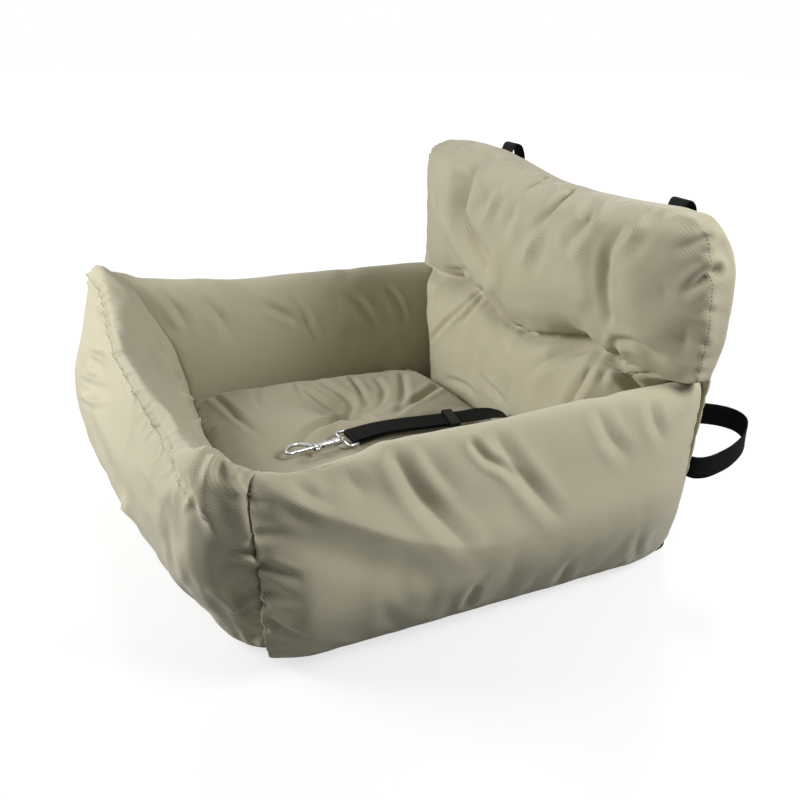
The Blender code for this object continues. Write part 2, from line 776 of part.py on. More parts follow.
def make_belt_loop():
    """The belt loop on the rear panel, its webbing on edge, and the patches over its two ends."""
    route = [(x, HALF_DEPTH + TOUCH + y, z) for x, y, z in BELT_ROUTE]
    path = smooth_curve(route, 3)
    across = [Vector((0, 0, 1))] * len(path)
    strap("seat_belt_loop", path, across, WEBBING_WIDTH, WEBBING_THICKNESS, "black_webbing")
    front = HALF_DEPTH + 2 * TOUCH + BELT_ROUTE[-1][1] + WEBBING_THICKNESS / 2
    tall = WEBBING_WIDTH / 2 + PATCH_MARGIN
    height = BELT_ROUTE[-1][2]
    for name, x in BELT_PATCHES.items():
        outline = [(x + a, height + b) for a, b in box_outline(BELT_PATCH_LENGTH / 2, tall)]
        slab(name, outline, front, front + PATCH_THICKNESS, "khaki_twill", axis="Y")


def leash_across(point):
    """The direction of the leash's width: level at the exit, rolled to the right over the seat."""
    share = (LEASH_ROLL_FROM_Y - point.y) / (LEASH_ROLL_FROM_Y - LEASH_ROLL_TO_Y)
    roll = LEASH_ROLL * min(max(share, 0.0), 1.0)
    turn = SNAP_TURN * min(max(1 - point.y / ADJUSTER_Y, 0.0), 1.0)
    return Vector((math.cos(roll) * math.cos(turn), math.sin(turn), -math.sin(roll)))


def make_leash():
    """The webbing from the bed's floor to the eye, and its return under it to the adjuster."""
    over = EYE_WIRE + 2 * TOUCH + WEBBING_THICKNESS / 2
    last = [SNAP_FRAME @ Vector((0, y, over)) for y in (0.006, 0.0)]
    path = smooth_curve([Vector(point) for point in LEASH_ROUTE] + last, 3)
    across = [leash_across(point) for point in path]
    strap("leash_webbing", path, across, WEBBING_WIDTH, WEBBING_THICKNESS, "black_webbing")
    bend = []
    for step in range(7):
        angle = math.pi * (0.5 + (step + 0.5) / 6.5)
        bend.append(SNAP_FRAME @ Vector((0, over * math.cos(angle), over * math.sin(angle))))
    back = []
    near = ADJUSTER_Y - ADJUSTER_LENGTH / 2 - TOUCH
    for point in smooth_curve(LEASH_ROUTE[11:], 2):
        if point.y < near - 0.004:
            share = min(max((point.y - SNAP_PLACE[1]) / 0.05, 0.0), 1.0)
            drop = 2 * over + (RETURN_DROP - 2 * over) * share
            back.insert(0, point + leash_up(point) * -drop)
    last = adjuster_frame() @ Vector((0, near - ADJUSTER_Y, -RETURN_DROP))
    path = bend + back[1:] + [last]
    across = [leash_across(point) for point in path]
    strap("leash_return", path, across, WEBBING_WIDTH, WEBBING_THICKNESS, "black_webbing")


def leash_up(point):
    """The direction square to the flat of the leash over the seat."""
    return leash_across(point).cross(Vector((0, 1, 0))).normalized()


def adjuster_frame():
    """The adjuster's place on the leash: its own Y runs along the webbing."""
    x = 0.0272
    place = Vector((x, ADJUSTER_Y, 0.0928))
    turn = -math.atan(ADJUSTER_SLOPE)
    return Matrix.Translation(place) @ Matrix.Rotation(turn, 4, "Z") @ Matrix.Rotation(LEASH_ROLL, 4, "Y")


def box_outline(half_x, half_y):
    """The four corners of a rectangle about the middle."""
    return [(-half_x, -half_y), (half_x, -half_y), (half_x, half_y), (-half_x, half_y)]


def make_adjuster():
    """The sliding keeper: a flat loop that the webbing runs through and its return is sewn to."""
    low = -ADJUSTER_ROOM / 2 - WEBBING_THICKNESS - 2 * ADJUSTER_TOP_BAR / 3
    high = ADJUSTER_ROOM / 2 + ADJUSTER_TOP_BAR
    half = ADJUSTER_LENGTH / 2
    outline = []
    for corner_x, corner_z, start in (
        (ADJUSTER_WIDTH / 2, low, -90),
        (ADJUSTER_WIDTH / 2, high, 0),
        (-ADJUSTER_WIDTH / 2, high, 90),
        (-ADJUSTER_WIDTH / 2, low, 180),
    ):
        radius = ADJUSTER_TOP_BAR
        centre_x = corner_x - math.copysign(radius, corner_x)
        centre_z = corner_z - math.copysign(radius, corner_z)
        for step in range(4):
            angle = math.radians(start + 30 * step)
            outline.append((centre_x + radius * math.cos(angle), centre_z + radius * math.sin(angle)))
    body = slab("leash_adjuster", outline, -half, half, "black_plastic", axis="Y")
    window = box_outline(ADJUSTER_WINDOW / 2, ADJUSTER_ROOM / 2)
    cutter = slab("adjuster_window", window, -half - 0.002, half + 0.002, "black_plastic", "Y", True)
    combine(body, cutter, "DIFFERENCE")
    for obj in (body, cutter):
        obj.matrix_world = adjuster_frame()


def along_snap(x, reach, z=0.0):
    """A point in the snap's own frame: reach runs from the eye bar towards the tip."""
    return Vector((x, -reach, z))


def place_on_snap(objects):
    """Stands pieces in the snap's frame, which has its own Y on the swivel's axis."""
    for obj in objects:
        obj.matrix_world = SNAP_FRAME


def make_snap_eye():
    """The swivel eye: a rectangular wire frame for the webbing and the headed stem it turns on."""
    half = WEBBING_WIDTH / 2 + EYE_SIDE_CLEARANCE + EYE_WIRE
    corner = 0.0030
    path = []
    for x, reach, start in (
        (half, EYE_LENGTH, 270),
        (half, 0.0, 0),
        (-half, 0.0, 90),
        (-half, EYE_LENGTH, 180),
    ):
        centre_x = x - math.copysign(corner, x)
        centre_y = -reach + (corner if reach else -corner)
        for step in range(4):
            angle = math.radians(start + 30 * step)
            path.append(Vector((centre_x + corner * math.cos(angle), centre_y + corner * math.sin(angle), 0)))
    frame = tube("snap_eye", path, [EYE_WIRE] * len(path), 10, "chrome", closed=True)
    boss_end = BARREL_START - STEM_CLEARANCE
    boss = cylinder(
        "eye_boss", along_snap(0, EYE_LENGTH - EYE_WIRE), along_snap(0, boss_end), 0.0034, 14, "chrome", True
    )
    head_start = BARREL_END - 0.0012 - STEM_HEAD_LENGTH
    stem = cylinder(
        "eye_stem", along_snap(0, EYE_LENGTH), along_snap(0, head_start + 0.0004), STEM_RADIUS, 14, "chrome", True
    )
    head = cylinder(
        "eye_stem_head",
        along_snap(0, head_start),
        along_snap(0, head_start + STEM_HEAD_LENGTH),
        STEM_HEAD_RADIUS,
        14,
        "chrome",
        True,
    )
    for helper in (boss, stem, head):
        combine(frame, helper, "UNION")
    place_on_snap((frame, boss, stem, head))


def hook_path():
    """The hook's bend, from the side of the shank round to the nose on the bolt's line."""
    nose = BOLT_TIP + 2 * TOUCH
    corners = [
        along_snap(-0.0014, SHANK_END - 0.0075),
        along_snap(-0.0034, SHANK_END - 0.0010),
        along_snap(-0.70 * HOOK_REACH, SHANK_END + 0.0055),
        along_snap(-HOOK_REACH, SHANK_END + 0.0135),
        along_snap(-0.93 * HOOK_REACH, HOOK_TIP - 0.0100),
        along_snap(-0.60 * HOOK_REACH, HOOK_TIP - 0.0028),
        along_snap(-0.22 * HOOK_REACH, HOOK_TIP),
        along_snap(-0.01 * HOOK_REACH, HOOK_TIP - 0.0030),
        along_snap(0.0, nose),
    ]
    return smooth_curve(corners, 3)


def make_snap_body():
    """The snap's body: swivel barrel, slotted shank and hook in one casting."""
    shank = [
        (BARREL_START, 0.8 * BARREL_RADIUS),
        (BARREL_START + 0.0010, BARREL_RADIUS),
        (BARREL_END - 0.0010, BARREL_RADIUS),
        (BARREL_END + 0.0012, SHANK_RADIUS),
        (SHANK_END - 0.0060, SHANK_RADIUS),
        (SHANK_END - 0.0030, 1.12 * SHANK_RADIUS),
        (SHANK_END, SHANK_RADIUS),
    ]
    points = [along_snap(0, reach) for reach, radius in shank]
    body = tube("snap_body", points, [radius for reach, radius in shank], 16, "chrome")
    path = hook_path()
    last = len(path) - 1
    radii = [HOOK_WIRE * (1.15 - 0.25 * i / last) for i in range(last + 1)]
    hook = tube("hook_bend", path, radii, 10, "chrome", helper=True)
    combine(body, hook, "UNION")
    bore = cylinder(
        "bolt_bore", along_snap(0, BOLT_BORE_START), along_snap(0, SHANK_END + 0.004), BOLT_BORE, 14, "chrome", True
    )
    slot_start = KNOB_AT - BOLT_TRAVEL - KNOB_NECK - 2 * TOUCH
    slot = slab(
        "knob_slot",
        [(0.0, -slot_start), (0.008, -slot_start), (0.008, -SHANK_END - 0.003), (0.0, -SHANK_END - 0.003)],
        -SLOT_WIDTH / 2,
        SLOT_WIDTH / 2,
        "chrome",
        helper=True,
    )
    head_start = BARREL_END - 0.0012 - STEM_HEAD_LENGTH - STEM_CLEARANCE
    throat = cylinder(
        "stem_throat",
        along_snap(0, BARREL_START - 0.002),
        along_snap(0, head_start + 0.0005),
        STEM_RADIUS + STEM_CLEARANCE,
        14,
        "chrome",
        True,
    )
    pocket = cylinder(
        "stem_pocket",
        along_snap(0, head_start),
        along_snap(0, head_start + STEM_HEAD_LENGTH + 2 * STEM_CLEARANCE),
        STEM_HEAD_RADIUS + STEM_CLEARANCE,
        14,
        "chrome",
        True,
    )
    for helper in (bore, slot, throat, pocket):
        combine(body, helper, "DIFFERENCE")
    place_on_snap((body, hook, bore, slot, throat, pocket))
    return body


def make_snap_bolt(body):
    """The sliding bolt that closes the hook, with its thumb knob standing out of the slot."""
    outline = [(BOLT_TAIL, BOLT_RADIUS), (BOLT_TIP - 0.0008, BOLT_RADIUS), (BOLT_TIP, 0.7 * BOLT_RADIUS)]
    points = [along_snap(0, reach) for reach, radius in outline]
    bolt = tube("snap_bolt", points, [radius for reach, radius in outline], 12, "chrome")
    head_start = KNOB_REACH - KNOB_HEAD
    neck = cylinder(
        "knob_neck", along_snap(0, KNOB_AT), along_snap(head_start + 0.0005, KNOB_AT), KNOB_NECK, 10, "chrome", True
    )
    rim = [
        (head_start, 0.8 * KNOB_RADIUS),
        (head_start + 0.0006, KNOB_RADIUS),
        (KNOB_REACH - 0.0010, KNOB_RADIUS),
        (KNOB_REACH, 0.6 * KNOB_RADIUS),
    ]
    points = [along_snap(x, KNOB_AT) for x, radius in rim]
    knob = tube("knob_head", points, [radius for x, radius in rim], 12, "chrome", helper=True)
    for helper in (neck, knob):
        combine(bolt, helper, "UNION")
    place_on_snap((bolt, neck, knob))
    carry(body, bolt)


def make_snap_spring(body):
    """The bolt's return spring, wound in the shank's bore behind the bolt."""
    start = BOLT_BORE_START + SPRING_WIRE + TOUCH
    length = BOLT_TAIL - SPRING_WIRE - TOUCH - start
    steps = 9 * SPRING_TURNS
    points = []
    for step in range(steps + 1):
        angle = 2 * math.pi * step / 9
        around = (SPRING_RADIUS * math.cos(angle), SPRING_RADIUS * math.sin(angle))
        points.append(Vector((around[0], -(start + length * step / steps), around[1])))
    pitch = length / SPRING_TURNS
    print(f"spring: least gap between coils {1000 * (pitch - 2 * SPRING_WIRE):.2f} mm")
    spring = tube("snap_spring", points, [SPRING_WIRE] * len(points), 4, "spring_steel")
    place_on_snap((spring,))
    carry(body, spring)


def make_snap():
    """The whole swivel bolt snap."""
    make_snap_eye()
    body = make_snap_body()
    make_snap_bolt(body)
    make_snap_spring(body)


def make_zip():
    """The cover's zip across the rear panel: tape, chain, slider and pull."""
    half_tape = ZIP_LENGTH / 2 + ZIP_TAPE_OVERHANG
    tape = [(x, ZIP_HEIGHT + z) for x, z in box_outline(half_tape, ZIP_TAPE_WIDTH / 2)]
    foot = HALF_DEPTH + TOUCH
    slab("zip_tape", tape, foot, foot + ZIP_TAPE_THICKNESS, "khaki_twill", axis="Y")
    chain = []
    count = round(ZIP_LENGTH / ZIP_PITCH)
    for i in range(count + 1):
        x = ZIP_LENGTH * (i / count - 0.5)
        chain.append((x, ZIP_CHAIN_WIDTH / 2 * (1.0 if i % 2 else 0.8)))
    outline = [(x, ZIP_HEIGHT - z) for x, z in chain] + [(x, ZIP_HEIGHT + z) for x, z in reversed(chain)]
    slab("zip_chain", outline, ZIP_CHAIN_FOOT, ZIP_CHAIN_TOP, "black_plastic", axis="Y")
    slider = make_zip_slider()
    make_zip_pull(slider)


def make_zip_slider():
    """The slider: a plate over the chain with a flange down each side, and an arch for the pull."""
    side = ZIP_CHAIN_WIDTH / 2 + SLIDER_CLEARANCE
    half = SLIDER_WIDTH / 2
    plate_top = PLATE_FOOT + SLIDER_PLATE
    flange_foot = ZIP_CHAIN_FOOT + SLIDER_CLEARANCE
    channel = [
        (-half, flange_foot),
        (-side, flange_foot),
        (-side, PLATE_FOOT),
        (side, PLATE_FOOT),
        (side, flange_foot),
        (half, flange_foot),
        (half, plate_top - 0.0005),
        (half - 0.0008, plate_top),
        (-half + 0.0008, plate_top),
        (-half, plate_top - 0.0005),
    ]
    ends = (SLIDER_X - SLIDER_LENGTH / 2, SLIDER_X + SLIDER_LENGTH / 2)
    rings = [[(x, y, ZIP_HEIGHT + z) for z, y in channel] for x in ends]
    slider = loft("zip_slider", rings, "chrome")
    span = ARCH_SPAN / 2
    route = [
        (SLIDER_X - span, plate_top - 0.0006, ZIP_HEIGHT),
        (SLIDER_X - span, plate_top + 0.5 * ARCH_RISE, ZIP_HEIGHT),
        (SLIDER_X - 0.7 * span, plate_top + ARCH_RISE, ZIP_HEIGHT),
        (SLIDER_X + 0.7 * span, plate_top + ARCH_RISE, ZIP_HEIGHT),
        (SLIDER_X + span, plate_top + 0.5 * ARCH_RISE, ZIP_HEIGHT),
        (SLIDER_X + span, plate_top - 0.0006, ZIP_HEIGHT),
    ]
    path = smooth_curve(route, 2)
    arch = tube("slider_arch", path, [ARCH_WIRE] * len(path), 8, "chrome", helper=True)
    combine(slider, arch, "UNION")
    for obj in (slider, arch):
        move_origin(obj, (SLIDER_X, PULL_Y, ZIP_HEIGHT))
    return slider


def make_zip_pull(slider):
    """The pull: a tab with two arms and a pin that passes under the slider's arch."""
    arm_inside = ARCH_WIRE + 2 * SLIDER_CLEARANCE
    half = PULL_WIDTH / 2
    root = SLIDER_X - ARCH_SPAN / 2 - 4 * ARCH_WIRE
    end = SLIDER_X - PULL_LENGTH
    back = SLIDER_X + PULL_PIN
    outline = [
        (back, arm_inside),
        (back, 0.7 * half),
        (root, half),
        (end + 0.0015, half),
        (end, half - 0.0015),
        (end, -half + 0.0015),
        (end + 0.0015, -half),
        (root, -half),
        (back, -0.7 * half),
        (back, -arm_inside),
        (root, -arm_inside),
        (root, arm_inside),
    ]
    outline = [(x, ZIP_HEIGHT + z) for x, z in outline]
    tab = slab(
        "zip_pull", outline, PULL_Y - PULL_THICKNESS / 2, PULL_Y + PULL_THICKNESS / 2, "chrome", axis="Y"
    )
    reach = arm_inside + 0.0006
    pin = cylinder(
        "pull_pin",
        (SLIDER_X, PULL_Y, ZIP_HEIGHT - reach),
        (SLIDER_X, PULL_Y, ZIP_HEIGHT + reach),
        PULL_PIN,
        8,
        "chrome",
        True,
    )
    combine(tab, pin, "UNION")
    for obj in (tab, pin):
        move_origin(obj, (SLIDER_X, PULL_Y, ZIP_HEIGHT))
    carry(slider, tab)
    carry(slider, pin)


def main():
    """Builds the whole bed."""
    clear_scene()
    upper = make_soft_pieces()
    for name, x in HEADREST_LOOPS.items():
        make_headrest_loop(name, x, upper)
    make_belt_loop()
    make_leash()
    make_adjuster()
    make_snap()
    make_zip()


main()
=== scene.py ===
"""Looks of a dog car bed: stuffed twill bolsters, a tufted seat and backrest, webbing and a clip-on leash.

Metres, +Z up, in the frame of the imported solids. Covers are laid as cloth grids, filled by a cloth
simulation, sewn and creased, and every finish is a node material.
"""

import logging
import math
from dataclasses import dataclass, field
from enum import Enum
from typing import Callable, Sequence

import bpy
import numpy as np
from mathutils import Matrix, Vector
from mathutils.bvhtree import BVHTree


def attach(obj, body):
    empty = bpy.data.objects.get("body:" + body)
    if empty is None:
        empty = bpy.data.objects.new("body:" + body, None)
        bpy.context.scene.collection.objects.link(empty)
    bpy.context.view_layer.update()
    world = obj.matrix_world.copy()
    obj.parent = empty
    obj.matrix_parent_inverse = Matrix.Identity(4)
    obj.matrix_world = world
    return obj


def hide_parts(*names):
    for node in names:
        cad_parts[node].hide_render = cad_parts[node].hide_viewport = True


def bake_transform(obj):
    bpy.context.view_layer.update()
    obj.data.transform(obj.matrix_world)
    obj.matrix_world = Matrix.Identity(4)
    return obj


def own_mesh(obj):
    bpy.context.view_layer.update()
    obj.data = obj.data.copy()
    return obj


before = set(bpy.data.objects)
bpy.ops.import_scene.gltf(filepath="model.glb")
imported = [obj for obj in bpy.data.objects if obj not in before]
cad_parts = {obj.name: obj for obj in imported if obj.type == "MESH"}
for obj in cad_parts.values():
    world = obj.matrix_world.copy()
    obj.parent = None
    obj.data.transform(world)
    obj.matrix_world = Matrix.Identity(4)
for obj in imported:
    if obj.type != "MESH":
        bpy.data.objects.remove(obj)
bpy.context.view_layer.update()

LOG = logging.getLogger("dog_car_bed")
UV_NAME = "cloth"
PICTURE = 800

HALF_WIDTH = 0.300
HALF_DEPTH = 0.2525
WALL_HEIGHT = 0.203
WALL_THICKNESS = 0.100
WELL_EDGE = 0.0960
BACKREST_HEIGHT = 0.374
FOLD_AXIS_Y = 0.209
REAR_PANEL_FRONT = 0.2465
FOOT = 0.0038
WEBBING_WIDTH = 0.025
WEBBING_THICKNESS = 0.0018
TOUCH = 0.0003

Pair = tuple[float, float]
Point = tuple[float, float, float]
Seam = tuple[np.ndarray, np.ndarray]

RIGHT = np.array([1.0, 0.0, 0.0])
REARWARD = np.array([0.0, 1.0, 0.0])
UP = np.array([0.0, 0.0, 1.0])


# Small tools


def through(x: np.ndarray, xs: Sequence[float], ys: Sequence[float]) -> np.ndarray:
    """Reads a smooth curve that passes through given points.

    Args:
        x: where to read it.
        xs: places of the given points, rising.
        ys: values at those places.

    Returns:
        The curve's values at x, held level outside xs.
    """
    xs_, ys_ = np.asarray(xs, float), np.asarray(ys, float)
    slope = np.gradient(ys_, xs_)
    k = np.clip(np.searchsorted(xs_, x) - 1, 0, len(xs_) - 2)
    h = xs_[k + 1] - xs_[k]
    t = np.clip((x - xs_[k]) / h, 0.0, 1.0)
    a = (2 * t**3 - 3 * t**2 + 1) * ys_[k] + (t**3 - 2 * t**2 + t) * h * slope[k]
    return a + (3 * t**2 - 2 * t**3) * ys_[k + 1] + (t**3 - t**2) * h * slope[k + 1]


def smooth_path(points: Sequence[Point], steps: int, closed: bool = False) -> np.ndarray:
    """A smooth curve through points, with so many steps to each span.

    Args:
        points: the points that it passes through.
        steps: points made for each span.
        closed: whether it runs back to its start.

    Returns:
        An array of points, three numbers each.
    """
    corners = np.asarray(points, float)
    count = len(corners)
    spans = count if closed else count - 1
    t = (np.arange(steps) / steps)[:, None]
    made = []
    for i in range(spans):
        around = [(i + k) % count if closed else min(max(i + k, 0), count - 1) for k in (-1, 0, 1, 2)]
        p0, p1, p2, p3 = (corners[k] for k in around)
        bend = 2 * p0 - 5 * p1 + 4 * p2 - p3
        made.append(0.5 * (2 * p1 + (p2 - p0) * t + bend * t**2 + (3 * p1 - p0 - 3 * p2 + p3) * t**3))
    return np.vstack(made if closed else [*made, corners[-1:]])


def run_along(path: np.ndarray) -> np.ndarray:
    """The distance covered at each point of a path, from nothing at its start."""
    return np.concatenate([[0.0], np.cumsum(np.linalg.norm(np.diff(path, axis=0), axis=1))])


def length_of(path: np.ndarray) -> float:
    """The length of a path."""
    return float(np.linalg.norm(np.diff(path, axis=0), axis=1).sum())


def ringed(grid: np.ndarray) -> np.ndarray:
    """A grid with its first column repeated at the end, so that it closes."""
    return np.concatenate([grid, grid[:, :1]], axis=1)


def border(index: np.ndarray) -> np.ndarray:
    """The points round a grid's edge, the first repeated at the end."""
    ring = [*index[0, :], *index[1:, -1], *index[-1, -2::-1], *index[-2:0:-1, 0]]
    return np.array([*ring, ring[0]])


def bell(x: np.ndarray, middle: float, width: float) -> np.ndarray:
    """A smooth hump: one at its middle, nearly nothing two widths away."""
    return np.exp(-(((x - middle) / width) ** 2))


def even_steps(path: np.ndarray, count: int, closed: bool = False) -> np.ndarray:
    """The same path with its points an even distance apart.

    Args:
        path: points along the path.
        count: how many points to make.
        closed: whether the path runs back to its start.

    Returns:
        The new points.
    """
    line = np.vstack([path, path[:1]]) if closed else path
    along = run_along(line)
    wanted = np.linspace(0.0, along[-1], count + 1)[:-1] if closed else np.linspace(0.0, along[-1], count)
    return np.stack([np.interp(wanted, along, line[:, k]) for k in range(line.shape[1])], axis=1)


def closeness(points: np.ndarray, path: np.ndarray) -> tuple[np.ndarray, np.ndarray, np.ndarray]:
    """How near each point is to a path.

    Args:
        points: the points.
        path: the path's points.

    Returns:
        The distance to the path, the share of the way along it, and the nearest path point's index.
    """
    best = np.full(len(points), np.inf)
    share = np.zeros(len(points))
    nearest = np.zeros(len(points), int)
    lengths = run_along(path)
    for i in range(len(path) - 1):
        start, step = path[i], path[i + 1] - path[i]
        t = np.clip((points - start) @ step / max(step @ step, 1e-12), 0.0, 1.0)
        away = np.linalg.norm(points - start - t[:, None] * step, axis=1)
        won = away < best
        best[won] = away[won]
        share[won] = ((lengths[i] + t * (lengths[i + 1] - lengths[i])) / lengths[-1])[won]
        nearest[won] = (i + (t > 0.5))[won]
    return best, share, nearest


class Cover:
    """A cover's mesh while it is made: points, faces and the cloth's own coordinates, all in metres."""

    def __init__(self) -> None:
        """Starts an empty cover."""
        self.points: list[list[float]] = []
        self.faces: list[tuple[int, ...]] = []
        self.cloth: list[tuple[float, float]] = []

    def add_points(self, grid: np.ndarray) -> np.ndarray:
        """Adds a grid of points and returns the grid of their numbers."""
        index = np.arange(grid.shape[0] * grid.shape[1]).reshape(grid.shape[:2]) + len(self.points)
        self.points.extend(grid.reshape(-1, 3).tolist())
        return index

    def add_faces(self, index: np.ndarray, cloth: np.ndarray, flip: bool = False) -> None:
        """Adds the faces of a grid.

        Args:
            index: the points' numbers, row by row; a closed grid repeats its first column at the end.
            cloth: the cloth coordinates of the same grid.
            flip: whether the faces look the other way.
        """
        for j in range(index.shape[0] - 1):
            for i in range(index.shape[1] - 1):
                ring = [(j, i), (j, i + 1), (j + 1, i + 1), (j + 1, i)]
                if flip:
                    ring.reverse()
                self.faces.append(tuple(int(index[a]) for a in ring))
                self.cloth.extend((float(cloth[a][0]), float(cloth[a][1])) for a in ring)

    def add_fan(
        self, ring: Sequence[int], centre: int, cloth: np.ndarray, middle: Pair, flip: bool
    ) -> None:
        """Closes a ring of points on one middle point.

        Args:
            ring: the points' numbers, the first repeated at the end.
            centre: the middle point's number.
            cloth: the ring's cloth coordinates.
            middle: the middle point's cloth coordinates.
            flip: whether the faces look the other way.
        """
        for i in range(len(ring) - 1):
            corners = [int(ring[i]), int(ring[i + 1]), centre]
            places = [tuple(cloth[i]), tuple(cloth[i + 1]), middle]
            if flip:
                corners.reverse()
                places.reverse()
            self.faces.append(tuple(corners))
            self.cloth.extend((float(a), float(b)) for a, b in places)

    def build(self, name: str) -> bpy.types.Object:
        """Makes the object.

        Args:
            name: the piece's name.

        Returns:
            The new mesh object, at the origin.
        """
        mesh = bpy.data.meshes.new(name)
        mesh.from_pydata(self.points, [], self.faces)
        layer = mesh.uv_layers.new(name=UV_NAME)
        layer.data.foreach_set("uv", np.asarray(self.cloth, np.float32).ravel())
        mesh.update()
        mesh.shade_smooth()
        return link(name, mesh)


def link(name: str, data: bpy.types.ID) -> bpy.types.Object:
    """Puts a mesh, lamp or camera into the scene under a name."""
    obj = bpy.data.objects.new(name, data)
    bpy.context.scene.collection.objects.link(obj)
    return obj


def triples(items: bpy.types.bpy_prop_collection, key: str) -> np.ndarray:
    """A value of three numbers of each item of a mesh, as an array."""
    flat = np.empty(len(items) * 3, np.float32)
    items.foreach_get(key, flat)
    return flat.reshape(-1, 3).astype(float)


def points_of(obj: bpy.types.Object) -> np.ndarray:
    """The object's mesh points as an array."""
    return triples(obj.data.vertices, "co")


def move_points(obj: bpy.types.Object, points: np.ndarray) -> None:
    """Writes new places for the object's mesh points."""
    obj.data.vertices.foreach_set("co", points.astype(np.float32).ravel())
    obj.data.update()


def normals_of(obj: bpy.types.Object) -> np.ndarray:
    """The outward direction at each mesh point."""
    return triples(obj.data.vertex_normals, "vector")


def evened(obj: bpy.types.Object, values: np.ndarray, rounds: int) -> np.ndarray:
    """Spreads values over neighbouring mesh points, so that only their broad form is left.

    Args:
        obj: the mesh object.
        values: one row of numbers for each point.
        rounds: how often each point takes the mean of its neighbours.

    Returns:
        The evened values.
    """
    edges = np.empty(len(obj.data.edges) * 2, np.int32)
    obj.data.edges.foreach_get("vertices", edges)
    ends = edges.reshape(-1, 2)
    starts = np.concatenate([ends[:, 0], ends[:, 1]])
    others = np.concatenate([ends[:, 1], ends[:, 0]])
    count = np.maximum(np.bincount(starts, minlength=len(values)), 1)[:, None]
    for _ in range(rounds):
        sums = [np.bincount(starts, values[others, k], len(values)) for k in range(values.shape[1])]
        values = 0.5 * values + 0.5 * np.stack(sums, axis=1) / count
    return values


def made_plain(obj: bpy.types.Object) -> bpy.types.Object:
    """Turns an object's modifiers into plain mesh.

    Args:
        obj: the object with live modifiers.

    Returns:
        The same object, now without modifiers.
    """
    graph = bpy.context.evaluated_depsgraph_get()
    graph.update()
    evaluated = obj.evaluated_get(graph)
    mesh = bpy.data.meshes.new_from_object(evaluated, preserve_all_data_layers=True, depsgraph=graph)
    mesh.name = obj.name
    old = obj.data
    obj.modifiers.clear()
    obj.data = mesh
    if old.users == 0:
        bpy.data.meshes.remove(old)
    return obj


def subdivided(obj: bpy.types.Object) -> bpy.types.Object:
    """Adds one smooth subdivision and applies it."""
    modifier = obj.modifiers.new("finer", "SUBSURF")
    modifier.levels = modifier.render_levels = 1
    made_plain(obj)
    obj.data.shade_smooth()
    return obj


# Camera and studio


@dataclass(frozen=True)
class PhotoCamera:
    """The camera that sees the bed as the photograph does.

    Attributes:
        place: where it stands.
        turn: how far it is turned about the upright, in radians.
        tilt: how far it looks down.
        roll: how far it is rolled.
        focal: its focal length, in pixels of the picture.
        sensor: its sensor's width, in millimetres.
    """

    place: Point = (0.99, -0.4785, 0.5544)
    turn: float = math.radians(62.5733)
    tilt: float = math.radians(21.5433)
    roll: float = math.radians(1.8563)
    focal: float = 1014.7
    sensor: float = 36.0

    def axes(self) -> tuple[Vector, Vector, Vector]:
        """The picture's right and up and the direction of sight."""
        level = math.cos(self.tilt)
        ahead = Vector((-math.sin(self.turn) * level, math.cos(self.turn) * level, -math.sin(self.tilt)))
        right = Vector((math.cos(self.turn), math.sin(self.turn), 0.0))
        up = right.cross(ahead)
        turned = math.cos(self.roll) * right + math.sin(self.roll) * up
        return turned, -math.sin(self.roll) * right + math.cos(self.roll) * up, ahead

    def build(self) -> bpy.types.Object:
        """Makes the camera and sets it as the scene's."""
        data = bpy.data.cameras.new("photo_camera")
        data.lens = self.focal * self.sensor / PICTURE
        data.sensor_width = self.sensor
        data.clip_start = 0.01
        camera = link("photo_camera", data)
        right, up, ahead = self.axes()
        matrix = Matrix((right, up, -ahead)).transposed().to_4x4()
        matrix.translation = Vector(self.place)
        camera.matrix_world = matrix
        bpy.context.scene.camera = camera
        return camera

    def sight(self, pixel: Pair) -> Vector:
        """The direction in which a pixel of the picture is seen."""
        right, up, ahead = self.axes()
        half = PICTURE / 2
        return (ahead * self.focal + right * (pixel[0] - half) + up * (half - pixel[1])).normalized()

    def seen(self, tree: BVHTree, pixels: Sequence[Pair]) -> tuple[np.ndarray, np.ndarray]:
        """Where the lines of sight of some pixels meet a surface.

        Args:
            tree: the surface.
            pixels: places in the picture.

        Returns:
            The points and the surface's directions there; pixels that miss it are left out.
        """
        points, ways = [], []
        for pixel in pixels:
            hit, normal, _, _ = tree.ray_cast(Vector(self.place), self.sight(pixel))
            if hit is None:
                LOG.warning("pixel %s misses the surface", pixel)
                continue
            points.append(tuple(hit))
            ways.append(tuple(normal))
        return np.array(points), np.array(ways)


CAMERA = PhotoCamera()


